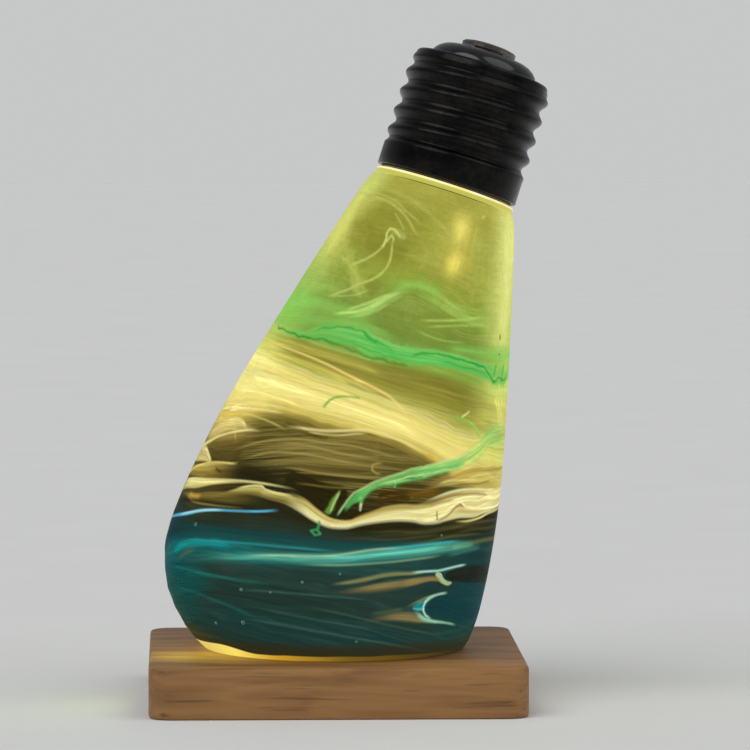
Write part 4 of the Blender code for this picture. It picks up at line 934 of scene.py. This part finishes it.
def paint_deep(stroke, sheaf, sheet):
    veil = (64, 98, 84)
    sheet([(-0.95, 79), (-0.5, 76.6), (0, 75), (0.3, 74), (0.5, 74)], [(-0.95, 86), (-0.5, 84), (0, 81.4),
            (0.3, 79.6), (0.5, 78.6)], [(30, 56, 48), (36, 50, 42), (26, 54, 50)], 0.8, 1.5, 0.2)
    sheet([(-0.98, 78.6), (-0.8, 77), (-0.6, 77.4)], [(-0.98, 85.5), (-0.8, 83.4), (-0.6, 80)],
            [(16, 80, 78), (14, 64, 62)], 0.7, 1.6, 0.45)
    sheaf([(-0.92, 78), (-0.4, 75.5), (0, 73), (0.3, 70.4)], [(-0.92, 85), (-0.4, 83), (0, 81),
            (0.6, 78)], 14, 0.7, [(44, 80, 70), (18, 48, 48)], 0.4)
    sheaf([(0, 80), (0.4, 78.5), (0.8, 77.5), (1, 75)], [(0, 84), (0.4, 83), (0.8, 81), (1, 79)], 8, 1.4,
            [(34, 68, 66), (20, 56, 60)], 0.4)
    stroke([(-0.55, 79.8), (-0.2, 77.4), (0.1, 75.6), (0.3, 74.4)], 0.5, veil, 0.55)
    stroke([(-0.97, 79), (-0.7, 78.6), (-0.3, 77)], 0.8, (32, 118, 108), 0.6)
    stroke([(-0.97, 82), (-0.7, 82.4), (-0.3, 83.4)], 0.8, (26, 96, 88), 0.5)
    stroke([(-0.55, 84.2), (-0.2, 83), (0, 82.4), (0.4, 81), (0.85, 79.3)], 0.7, veil, 0.6)
    stroke([(-0.4, 81.6), (0, 80.4), (0.4, 79)], 0.6, veil, 0.5)
    stroke([(-0.1, 78.9), (0.2, 78), (0.5, 77.4), (0.8, 76.4)], 0.6, (70, 96, 76), 0.5)
    stroke([(0.6, 82.3), (0.75, 81.4), (0.9, 80)], 0.7, (28, 108, 110), 0.6)
    stroke([(-0.995, 82.5), (-0.998, 86), (-0.985, 88.6)], 0.8, (210, 190, 108))


PAINT_SEED = 11
ZONES = (paint_neck, paint_haze, paint_band, paint_olive, paint_yellow, paint_gap, paint_ridge, paint_ribbon,
         paint_blues, paint_deep)


def paint_pigments(mesh):
    """Paints the zones from the neck down. Each draws from the same random source, so order counts."""
    canvas = Canvas(mesh, PAINT_SEED)
    for zone in ZONES:
        zone(canvas.stroke, canvas.sheaf, canvas.sheet)
    canvas.finish()


# ---------------------------------------------------------------- the casting

SKIN_ANGLES = angles_round(150, 90)
SKIN_RING = 0.6 * MM
CORE_ANGLES = angles_round(480, 150)
CORE_RING = 0.19 * MM
CORE_POCKET_GAP = 0.6 * MM
CORE_FOOT_GAP = 0.9 * MM
# (mm below the rim, mm under the skin)
CORE_DEPTH = [(1, 1.4), (15, 1.7), (30, 2.2), (46, 2.8), (53, 3.6), (58, 3.6), (63, 2.8), (75, 2.8),
              (92, 2.4)]


def skin_outline():
    top, bottom = OUTLINE[0][0], OUTLINE[-1][0] + OUTLINE_TAIL[-1][0]
    rows = np.linspace(top, bottom, int((bottom - top) / SKIN_RING))
    side = [(float(bulb_radius(s)), s) for s in rows]
    return [(0.0, POCKET_FLOOR), (POCKET_R, POCKET_FLOOR), (POCKET_R, top), *side, (0.0, bottom)]


def core_radius(below):
    where, depth = np.array(CORE_DEPTH).T
    return bulb_radius(below) - np.interp(below / MM, where, depth) * MM


def core_outline():
    top, bottom = OUTLINE[0][0] + 0.5 * MM, OUTLINE[-1][0] + OUTLINE_TAIL[0][0]
    rows = np.linspace(top, bottom, int((bottom - top) / CORE_RING))
    side = [(float(core_radius(s)), s) for s in rows]
    wall, floor = POCKET_R + CORE_POCKET_GAP, POCKET_FLOOR + CORE_POCKET_GAP
    return [(0.0, floor), (wall, floor), (wall, top), *side, (0.0, bottom)]


def resin_material():
    """Clear resin: it bends what lies inside, reflects a little, and lets light through to it."""
    sh = Shader("clear_resin")
    place = sh.attribute("round_axis").outputs["Vector"]
    ripple = sh.bump(sh.noise(place, 0.09, 2.0), 0.06, 0.5 * MM)
    tint = sh.mix(sh.noise(place, 0.15), (0.97, 0.98, 0.93), (1.0, 1.0, 1.0))
    bent = sh.node("BsdfRefraction", {"Color": tint, "IOR": RESIN_IOR, "Roughness": 0.0})
    shine = sh.node("BsdfGlossy", {"Color": (0.8, 0.8, 0.8), "Roughness": 0.06, "Normal": ripple})
    fresnel = sh.times(sh.node("Fresnel", {"IOR": 1.2}).outputs[0], 0.15)
    solid = sh.node("MixShader", {0: fresnel, 1: bent.outputs[0], 2: shine.outputs[0]})
    clear = sh.node("BsdfTransparent", {"Color": (0.9, 0.9, 0.85)})
    shadow = sh.node("LightPath").outputs["Is Shadow Ray"]
    return sh.finish(sh.node("MixShader", {0: shadow, 1: solid.outputs[0], 2: clear.outputs[0]}).outputs[0])


LEVEL_RANGE = 94.0  # mm, the flow levels that the colour ramps span

FRONT_COLOURS = [
    (0, (178, 174, 78)), (5, (158, 156, 62)), (12, (152, 154, 58)), (18, (146, 160, 60)),
    (21, (130, 152, 60)), (25, (124, 144, 58)), (28.5, (118, 142, 58)), (31, (128, 165, 74)),
    (33.5, (138, 152, 62)), (36, (122, 118, 42)), (38.5, (143, 140, 54)), (40.3, (178, 176, 82)),
    (42, (234, 216, 116)), (45, (243, 226, 125)), (46.6, (205, 182, 84)), (48, (112, 100, 42)),
    (50, (92, 84, 32)), (54, (70, 62, 24)), (58, (48, 43, 18)), (62, (40, 36, 16)), (65, (42, 42, 24)),
    (67, (36, 56, 50)), (69.5, (34, 72, 68)), (72, (34, 62, 58)), (75, (38, 54, 48)), (79, (30, 54, 50)),
    (84, (26, 54, 52)), (88, (34, 50, 42)), (92, (70, 62, 24)),
]
# The colours near the left and right edges: the pigment's own colours there, and in the upper zones also lighter
# than at the front, which is painted light for the longer way light runs through the resin at the sides.
LEFT_COLOURS = [
    (0, (205, 210, 120)), (5, (200, 208, 106)), (14, (210, 211, 106)), (20, (178, 196, 96)),
    (25, (150, 190, 90)), (28.5, (142, 205, 88)), (31, (150, 200, 92)), (33.5, (172, 204, 100)),
    (36, (194, 204, 100)), (38.5, (212, 212, 106)), (42, (246, 236, 140)), (45, (250, 236, 140)),
    (46.6, (225, 200, 95)), (48, (196, 170, 80)), (52, (150, 130, 66)), (56, (104, 90, 40)),
    (60, (88, 76, 34)), (64, (84, 72, 30)), (66.5, (42, 50, 38)), (68.5, (20, 54, 60)),
    (71, (14, 68, 72)), (75, (12, 76, 78)), (80, (14, 70, 64)), (86, (18, 54, 46)), (90, (80, 66, 24)),
]
RIGHT_COLOURS = [
    (0, (214, 216, 118)), (5, (222, 224, 130)), (12, (218, 220, 128)), (20, (204, 213, 114)),
    (25, (190, 210, 108)), (28.5, (150, 200, 90)), (33.5, (204, 220, 114)), (38.5, (206, 204, 102)),
    (41, (188, 196, 94)), (44, (222, 216, 112)), (47, (194, 182, 95)), (50, (160, 146, 68)),
    (56, (80, 74, 38)), (61, (50, 52, 30)), (64, (38, 42, 26)), (67, (30, 46, 38)), (69.5, (22, 54, 54)),
    (74, (28, 62, 56)), (80, (34, 66, 60)), (88, (30, 60, 52)), (92, (50, 50, 20)),
]


# fine bright lines: along the slant or not, waves along and across, levels where they start, are
# full, fade and end, strength, colour
FILAMENTS = [
    (True, 0.02, 1.3, 47.0, 50.0, 57.0, 62.0, 0.45, (168, 150, 84)),
    (False, 0.012, 1.0, 38.0, 41.0, 45.0, 47.0, 0.28, (255, 250, 186)),
    (False, 0.02, 0.45, 66.0, 69.0, 82.0, 88.0, 0.12, (74, 124, 108)),
    (False, 0.03, 0.8, 2.0, 5.0, 24.0, 29.0, 0.15, (206, 210, 116)),
]


def by_level(sh, level, stops):
    return sh.ramp(sh.math("DIVIDE", level, LEVEL_RANGE), [(s / LEVEL_RANGE, c) for s, c in stops])


def scaled_colour(sh, colour, factor):
    return sh.mix(1.0, colour, sh.vector(factor, factor, factor), "MULTIPLY")


def pigment_material():
    """The cloudy middle of the casting: colours laid along the flow lines, then the painted strokes
    over them, then streaks and fibres. It gives off its own light."""
    sh = Shader("poured_pigment")
    level, across, slant = sh.parts(sh.attribute("flow").outputs["Vector"])
    place = sh.attribute("round_axis").outputs["Vector"]
    x, y, _ = sh.parts(place)
    level = sh.add(level, sh.times(sh.add(sh.noise(place, 0.1, 2.0), -0.5), 2.4))

    def streak(height, along, across_flow, detail=3.0):
        """Noise that is long along the flow and fine across it."""
        stretched = sh.vector(sh.times(x, along), sh.times(y, along), sh.times(height, across_flow))
        return sh.noise(stretched, 1.0, detail, 0.6)

    wide, fine = streak(level, 0.02, 0.5), streak(level, 0.03, 1.7)
    front = by_level(sh, sh.add(level, sh.times(sh.add(wide, -0.5), 3.0)), FRONT_COLOURS)
    colour = sh.mix(sh.smooth(across, -0.68, -0.94), front, by_level(sh, level, LEFT_COLOURS))
    colour = sh.mix(sh.smooth(across, 0.55, 0.93), colour, by_level(sh, level, RIGHT_COLOURS))

    cloud = sh.noise(place, 0.11, 5.0, 0.6, 0.6)
    colour = scaled_colour(sh, colour, sh.add(0.78, sh.times(cloud, 0.44)))
    neck = sh.smooth(level, 34.0, 26.0)
    below_band = sh.smooth(level, 30.0, 40.0)
    streak_shade = sh.add(sh.times(sh.add(fine, -0.5), sh.times(below_band, 0.9)), 1.0)
    colour = scaled_colour(sh, colour, streak_shade)

    paint, cover = sh.attribute("paint").outputs["Vector"], sh.attribute("cover").outputs["Fac"]
    colour = sh.mix(1.0, scaled_colour(sh, colour, sh.math("SUBTRACT", 1.0, cover)), paint, "ADD")

    def filaments(height, along, across_flow, start, full, fall, end, strength, tone):
        """Fine bright lines in the levels from start to end."""
        line = sh.lines(streak(height, along, across_flow), 30.0)
        zone = sh.times(sh.smooth(level, start, full), sh.smooth(level, end, fall))
        return sh.mix(sh.times(sh.times(line, sh.times(zone, unpainted)), strength), colour, linear(tone))

    strand_x, strand_y, painted = sh.parts(sh.attribute("strand").outputs["Vector"])
    unpainted = sh.math("SUBTRACT", 1.0, painted)
    for slanting, *settings in FILAMENTS:
        colour = filaments(slant if slanting else level, *settings)
    grain = streak(sh.add(level, sh.times(slant, 0.4)), 0.05, 3.4)
    grain = sh.times(sh.add(grain, -0.5), sh.times(unpainted, 0.4))
    painted = sh.times(painted, sh.add(0.25, sh.times(below_band, 0.75)))
    fibre = sh.noise(sh.vector(sh.times(strand_x, 0.09), sh.times(strand_y, 1.9), 0.0), 1.0, 4.0, 0.62)
    grain = sh.add(grain, sh.times(sh.times(sh.add(fibre, -0.5), painted), 0.9))
    thread = sh.noise(sh.vector(sh.times(strand_x, 0.05), sh.times(strand_y, 0.9), 7.0), 1.0, 2.0)
    grain = sh.add(grain, sh.times(sh.times(sh.lines(thread, 40.0), painted), 0.35))
    speckle = sh.add(sh.times(sh.noise(place, 2.4, 3.0, 0.7), 0.5),
                     sh.times(sh.noise(place, 0.35, 4.0, 0.65, 1.0), 0.5))
    grain = sh.add(grain, sh.times(sh.times(sh.add(speckle, -0.5), neck), 0.75))
    colour = scaled_colour(sh, colour, sh.add(1.0, grain))

    # Near the foot: darker up to about 4 mm above it, then a painted glow where the lamp's light leaves the foot,
    # a gold band that is brightest and widest on the left and dark on the right.
    height = sh.attribute("foot_height").outputs["Fac"]
    colour = sh.mix(sh.times(sh.smooth(height, 4.2, 2.2), 0.8), colour, linear((50, 42, 18)))
    gold = sh.ramp(sh.add(sh.times(across, 0.5), 0.5), [
        (0.05, (236, 206, 110)), (0.2, (255, 226, 104)), (0.4, (206, 156, 46)), (0.65, (120, 92, 28)),
        (1.0, (48, 42, 20))])
    rim = sh.add(1.1, sh.times(sh.smooth(across, -0.35, -0.75), 1.3))
    colour = sh.mix(sh.smooth(height, sh.add(rim, 0.25), rim), colour, gold)
    surface = sh.principled((0.0, 0.0, 0.0), 0.9, 0.0, None, Emission_Color=colour, Emission_Strength=1.0,
                            Specular_IOR_Level=0.0)
    return sh.finish(surface)


def make_casting():
    skin = level_cut(revolved("resin_skin", skin_outline(), SKIN_ANGLES), FOOT_Z)
    mark_flow(skin)
    new_piece("resin_skin", skin, resin_material(), "lamp", "resin", "resin_body")
    core = level_cut(revolved("pigment_core", core_outline(), CORE_ANGLES), FOOT_Z + CORE_FOOT_GAP)
    mark_flow(core)
    paint_pigments(core)
    new_piece("pigment_core", core, pigment_material(), "lamp", "resin")


# ---------------------------------------------------------------- finishes for the CAD parts


def wood_material():
    """Mid brown oiled wood, its grain along X."""
    sh = Shader("oiled_wood")
    place = sh.node("TexCoord").outputs["Object"]
    bend = sh.noise(place, 22.0, 2.0)
    x, y, z = sh.parts(place)
    ring_y = sh.add(sh.times(y, 150.0), sh.times(bend, 3.0))
    ring_place = sh.vector(sh.times(x, 12.0), ring_y, sh.times(z, 190.0))
    rings = sh.noise(ring_place, 1.0, 3.0, 0.6, 0.4)
    pores = sh.noise(sh.vector(sh.times(x, 60.0), sh.times(y, 1500.0), sh.times(z, 1500.0)), 1.0, 2.0)
    colour = sh.ramp(rings, [(0.25, (98, 64, 32)), (0.45, (136, 94, 50)), (0.6, (164, 118, 66)),
                             (0.8, (124, 82, 42))])
    colour = sh.mix(sh.times(sh.smooth(pores, 0.6, 0.72), 0.5), colour, linear((58, 34, 18)))
    height = sh.add(sh.times(rings, 0.5), sh.times(pores, -0.3))
    roughness = sh.add(0.42, sh.times(rings, 0.2))
    return sh.finish(sh.principled(colour, roughness, 0.0, sh.bump(height, 0.25, 0.1 * MM)))


def finish_material(name, dark, light, roughness, metallic=0.0, grain=900.0, relief=0.1):
    """A plain finish whose colour, gloss and surface vary a little."""
    sh = Shader(name)
    place = sh.node("TexCoord").outputs["Object"]
    blotch = sh.noise(place, grain / 6, 3.0)
    speck = sh.noise(place, grain, 2.0)
    share = sh.smooth(sh.add(sh.times(blotch, 0.6), sh.times(speck, 0.4)), 0.35, 0.65)
    colour = sh.mix(share, linear(dark), linear(light))
    gloss = sh.add(roughness, sh.times(sh.add(blotch, -0.5), 0.15))
    return sh.finish(sh.principled(colour, gloss, metallic, sh.bump(speck, relief, 0.05 * MM)))


def glowing_material(name, dark, light, glow, roughness):
    """A translucent finish that carries the lamp's light."""
    sh = Shader(name)
    place = sh.node("TexCoord").outputs["Object"]
    blotch = sh.noise(place, 260.0, 3.0)
    colour = sh.mix(sh.smooth(blotch, 0.3, 0.7), linear(dark), linear(light))
    return sh.finish(sh.principled(colour, roughness, 0.0, sh.bump(blotch, 0.1, 0.05 * MM),
                                   Emission_Color=colour, Emission_Strength=glow))


LIP_LINE, LIP_BLUR = 0.35, 0.15  # mm below the rim where the bright line ends, and over how much


def lip_material():
    """The neck ring: a bright line of light where it meets the cap, resin green below."""
    sh = Shader("lit_silicone")
    place = sh.node("TexCoord").outputs["Object"]
    from_rim = sh.node("VectorMath", {0: place, 1: tuple(RIM)}, operation="SUBTRACT").outputs[0]
    up = tuple(UP / MM)
    height = sh.node("VectorMath", {0: from_rim, 1: up}, operation="DOT_PRODUCT").outputs["Value"]
    blotch = sh.noise(place, 260.0, 3.0)
    bright = sh.mix(sh.smooth(blotch, 0.3, 0.7), linear((250, 226, 130)), linear((255, 246, 190)))
    colour = sh.mix(sh.smooth(height, -LIP_LINE - LIP_BLUR, -LIP_LINE), linear((190, 186, 84)), bright)
    return sh.finish(sh.principled(sh.mix(0.7, colour, (0.0, 0.0, 0.0)), 0.4, 0.0, None,
                                   Emission_Color=colour, Emission_Strength=0.9))


FINISHES = {
    "wood": wood_material(),
    "lip": lip_material(),
    "window": glowing_material("lit_window", (240, 225, 160), (255, 244, 200), 0.6, 0.2),
    "led": glowing_material("led_phosphor", (255, 205, 90), (255, 230, 140), 1.0, 0.4),
    "black_metal": finish_material("black_plating", (16, 16, 16), (34, 32, 30), 0.27, 0.9, 1200.0, 0.05),
    "button_metal": finish_material("button_steel", (96, 90, 82), (128, 120, 110), 0.3, 1.0, 1500.0, 0.05),
    "black_gloss": finish_material("insulator_gloss", (8, 8, 9), (20, 20, 22), 0.14, 0.0, 500.0, 0.03),
    "black_plastic": finish_material("black_plastic", (18, 18, 19), (34, 34, 36), 0.5),
    "grey_plastic": finish_material("grey_plastic", (60, 60, 64), (84, 84, 88), 0.55),
    "white_plastic": finish_material("white_nylon", (205, 205, 198), (228, 228, 222), 0.4),
    "white_board": finish_material("white_solder_mask", (215, 215, 208), (236, 236, 230), 0.35),
    "green_board": finish_material("green_solder_mask", (22, 82, 44), (36, 108, 60), 0.35, 0.0, 1500.0),
    "steel": finish_material("nickel_steel", (150, 150, 152), (186, 186, 188), 0.28, 1.0, 1500.0, 0.05),
    "brass": finish_material("brass_strip", (176, 140, 70), (208, 172, 96), 0.3, 1.0, 1500.0, 0.05),
    "ferrite": finish_material("ferrite", (40, 40, 43), (62, 62, 66), 0.65),
    "seal": finish_material("seal_rubber", (16, 16, 16), (30, 30, 30), 0.7),
    "red_pvc": finish_material("red_pvc", (150, 18, 16), (186, 34, 28), 0.4),
    "black_pvc": finish_material("black_pvc", (16, 16, 17), (34, 34, 36), 0.4),
}
SHARP_ANGLE = math.radians(35)
WELD_REACH = 1e-6


def finish_nodes():
    """Gives every CAD node that is shown the finish of its material slot."""
    slots = {part["node"]: part["material_slot"] for part in frame["record"]["subparts"]}
    for name, node in frame["nodes"].items():
        slot = slots[name]
        node.data.materials.clear()
        node.data.materials.append(FINISHES.get(slot, FINISHES["black_plastic"]))  # the resin is replaced
        if "custom_normal" in node.data.attributes:
            node.data.attributes.remove(node.data.attributes["custom_normal"])
        node.data.shade_smooth()
        node.modifiers.new("join", "WELD").merge_threshold = WELD_REACH
        split = node.modifiers.new("sharp_edges", "EDGE_SPLIT")
        split.split_angle = SHARP_ANGLE


# ---------------------------------------------------------------- the cap's rolled shell

SHELL_ANGLES = angles_round(120, 120)
SHELL_CORNER = 0.8 * MM
SHELL_SHOULDER = 0.3 * MM  # from the thread's mean radius in to the top corner
THREAD_SPAN = (4.1 * MM, 20.6 * MM)  # above the shell's lower edge
THREAD_FADE = 1.2 * MM
THREAD_ROW = 0.18 * MM
SKIRT_HEM = 0.12 * MM


def shell_outline(skirt_r, mean_r, wall, lip_r, low, high):
    """The shell's section as (radius, below): over the top, down the thread and up inside."""
    shoulder = mean_r - SHELL_SHOULDER
    turn = np.linspace(math.pi / 2, 0, 9)
    corner, inner_corner = (
        [(shoulder - SHELL_CORNER + r * math.cos(a), high - SHELL_CORNER + r * math.sin(a)) for a in turns]
        for r, turns in ((SHELL_CORNER, turn), (SHELL_CORNER - wall, turn[::-1])))
    start, end = low + THREAD_SPAN[0], low + THREAD_SPAN[1]
    thread = np.linspace(end, start, int((end - start) / THREAD_ROW))
    outside = [(lip_r, high), *corner, *[(mean_r, w) for w in thread], (skirt_r, start - SKIRT_HEM),
               (skirt_r, low + SKIRT_HEM), (skirt_r - SKIRT_HEM, low)]
    inside = [(skirt_r - wall, low), (skirt_r - wall, start - SKIRT_HEM),
              *[(mean_r - wall, w) for w in thread[::-1]], *inner_corner, (lip_r, high - wall)]
    return [(r, -w) for r, w in outside + inside]


def make_cap_shell():
    """The CAD shell's screw surface with fine rings. Its phase is read from the CAD points."""
    radius, angle, below = lamp_coordinates(points_of("cap_shell"))
    low, high = float(-below.max()), float(-below.min())
    skirt = radius[-below < low + SKIRT_HEM]
    wall = float(skirt.max() - skirt.min())
    swing = float(radius.max() - radius[-below < high - 2 * SHELL_CORNER].min() - wall) / 2
    mean_r = float(radius.max()) - swing
    start, end = low + THREAD_SPAN[0], low + THREAD_SPAN[1]
    screwed = (-below > start + THREAD_FADE) & (-below < end - THREAD_FADE)
    turns = 2 * math.pi * -below[screwed] / PITCH - angle[screwed]
    away = radius[screwed] - radius[screwed].mean()
    phase = float(np.angle((away * np.exp(-1j * turns)).sum()))
    flare = float(skirt.max()) - mean_r

    def screw(around, depth):
        w = -depth
        share = np.clip(np.minimum((w - start) / THREAD_FADE, (end - w) / THREAD_FADE), 0, 1)
        crest = swing * np.cos(2 * math.pi * w / PITCH - around + phase)
        level = np.where(w - start < end - w, flare, 0.0)
        inside_span = (w >= start - SKIRT_HEM / 2) & (w <= end + SKIRT_HEM / 2)
        return np.where(inside_span, share * crest + (1 - share) * level, 0.0)

    outline = shell_outline(float(skirt.max()), mean_r, wall, float(radius.min()), low, high)
    shell = revolved("rolled_shell", outline, SHELL_ANGLES, screw)
    new_piece("rolled_shell", shell, FINISHES["black_metal"], "cap", "black_metal", "cap_shell")


# ---------------------------------------------------------------- air bubbles in the resin

BUBBLES = [(-0.47, 84.8, 0.35), (-0.5, 79.5, 0.28), (-0.85, 71.3, 0.3), (-0.15, 75.2, 0.22), (0.3, 82, 0.2),
           (-0.68, 86.2, 0.25), (0.6, 60.2, 0.2), (0.05, 71.9, 0.2), (0.86, 26.3, 0.2), (-0.32, 78.4, 0.18)]
BUBBLE_RINGS = 10


def bubble_material():
    """A trapped bubble: a painted bright edge, standing in for light caught at its rim, round a darker middle; the
    whole bubble glows a little.
    """
    sh = Shader("air_bubble")
    facing = sh.node("LayerWeight", {0: 0.45}).outputs["Facing"]
    colour = sh.mix(facing, linear((34, 66, 62)), linear((150, 196, 180)))
    return sh.finish(sh.principled(colour, 0.15, 0.0, None, Emission_Color=colour, Emission_Strength=0.5))


def ordered_faces(shape):
    """The faces as vertex numbers in a fixed order, which Blender's sphere tool does not keep to."""
    shape.verts.index_update()
    return sorted([vert.index for vert in face.verts] for face in shape.faces)


def make_bubbles():
    shape = bmesh.new()
    for across, below, size in BUBBLES:
        lift = core_radius(below * MM) + 2 * size * MM
        front = drawn_angle(across, below * MM)
        for angle in (front, math.pi + front):
            made = bmesh.ops.create_uvsphere(shape, u_segments=2 * BUBBLE_RINGS, v_segments=BUBBLE_RINGS,
                                             radius=size * MM)
            centre = lamp_points(lift, angle, below * MM)
            bmesh.ops.translate(shape, vec=Vector(centre), verts=made["verts"])
    mesh = bpy.data.meshes.new("air_bubbles")
    mesh.from_pydata([vert.co[:] for vert in shape.verts], [], ordered_faces(shape))
    shape.free()
    mesh.shade_smooth()
    new_piece("air_bubbles", mesh, bubble_material(), "lamp", "resin")


# ---------------------------------------------------------------- the studio

FLOOR_SIDE = 6.0
FOOT_GLOW_IN, FOOT_GLOW_FRONT, FOOT_GLOW_UP = -1 * MM, 12 * MM, 7 * MM
FOOT_GLOW_POWER, FOOT_GLOW_SIZE, FOOT_GLOW_COLOUR = 0.009, 6 * MM, (0.75, 1.0, 0.16)
SUN_SPREAD = math.radians(50)
SUNS = [("key_light", (-0.5, -0.55, 1.0), 1.25), ("fill_light", (0.8, -0.3, 1.0), 0.6)]
BACKDROP = (0.5685, 0.5763, 0.5736, 1.0)  # what the camera sees beyond the floor, to match it
SKY, SKY_STRENGTH = (0.9, 0.95, 1.0, 1.0), 0.32
CAMERA_PLACE = (-26.8 * MM, -1.0, 123.2 * MM)
CAMERA_AIM = (0.0341, 1.0, -0.0652)
CAMERA_LENS, CAMERA_SENSOR = 268.4, 36.0  # mm
CAMERA_CLIP = (0.01, 50.0)


def sky_light(name, toward, strength):
    """Even light over the whole floor, with soft shadows."""
    light = bpy.data.lights.new(name, "SUN")
    light.energy, light.angle = strength, SUN_SPREAD
    obj = bpy.data.objects.new(name, light)
    bpy.context.scene.collection.objects.link(obj)
    obj.rotation_euler = Vector(toward).to_track_quat("Z", "Y").to_euler()


def foot_glow():
    """The lamp's own light leaving the resin at the left of its foot, on the board."""
    light = bpy.data.lights.new("foot_glow", "POINT")
    light.energy, light.shadow_soft_size, light.color = FOOT_GLOW_POWER, FOOT_GLOW_SIZE, FOOT_GLOW_COLOUR
    obj = bpy.data.objects.new("foot_glow", light)
    bpy.context.scene.collection.objects.link(obj)
    foot = vertex_places(bpy.data.objects["resin_skin"].data)
    left = foot[np.argmin(np.where(foot[:, 2] < FOOT_Z + 2 * MM, foot[:, 0], 1.0))]
    obj.location = (float(left[0]) + FOOT_GLOW_IN, float(left[1]) - FOOT_GLOW_FRONT,
                    BOARD_TOP + FOOT_GLOW_UP)
    obj.visible_camera = obj.visible_glossy = obj.visible_transmission = False
    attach(obj, "lamp")


def floor_material():
    sh = Shader("pale_floor")
    place = sh.node("TexCoord").outputs["Object"]
    colour = sh.mix(sh.noise(place, 30.0, 3.0), linear((226, 225, 222)), linear((232, 231, 228)))
    return sh.finish(sh.principled(colour, 0.8))


def make_studio():
    mesh = bpy.data.meshes.new("floor")
    half = FLOOR_SIDE / 2
    corners = [(-half, -half, 0), (half, -half, 0), (half, half, 0), (-half, half, 0)]
    mesh.from_pydata(corners, [], [(0, 1, 2, 3)])
    mesh.materials.append(floor_material())
    floor = bpy.data.objects.new("floor", mesh)
    bpy.context.scene.collection.objects.link(floor)

    world = bpy.data.worlds.new("studio")
    bpy.context.scene.world = world
    world.use_nodes = True
    tree = world.node_tree
    tree.nodes.clear()
    path = tree.nodes.new("ShaderNodeLightPath")
    seen, lit = tree.nodes.new("ShaderNodeBackground"), tree.nodes.new("ShaderNodeBackground")
    seen.inputs[0].default_value, seen.inputs[1].default_value = BACKDROP, 1.0
    lit.inputs[0].default_value, lit.inputs[1].default_value = SKY, SKY_STRENGTH
    choose, out = tree.nodes.new("ShaderNodeMixShader"), tree.nodes.new("ShaderNodeOutputWorld")
    tree.links.new(path.outputs["Is Camera Ray"], choose.inputs[0])
    tree.links.new(lit.outputs[0], choose.inputs[1])
    tree.links.new(seen.outputs[0], choose.inputs[2])
    tree.links.new(choose.outputs[0], out.inputs[0])

    for name, toward, strength in SUNS:
        sky_light(name, toward, strength)

    camera = bpy.data.cameras.new("camera")
    camera.lens, camera.sensor_width = CAMERA_LENS, CAMERA_SENSOR
    camera.clip_start, camera.clip_end = CAMERA_CLIP
    obj = bpy.data.objects.new("camera", camera)
    bpy.context.scene.collection.objects.link(obj)
    obj.location, obj.rotation_euler = CAMERA_PLACE, Vector(CAMERA_AIM).to_track_quat("-Z", "Y").to_euler()
    bpy.context.scene.camera = obj
    bpy.context.scene.view_settings.view_transform = "Standard"


make_casting()
make_bubbles()
make_cap_shell()
finish_nodes()
make_studio()
foot_glow()
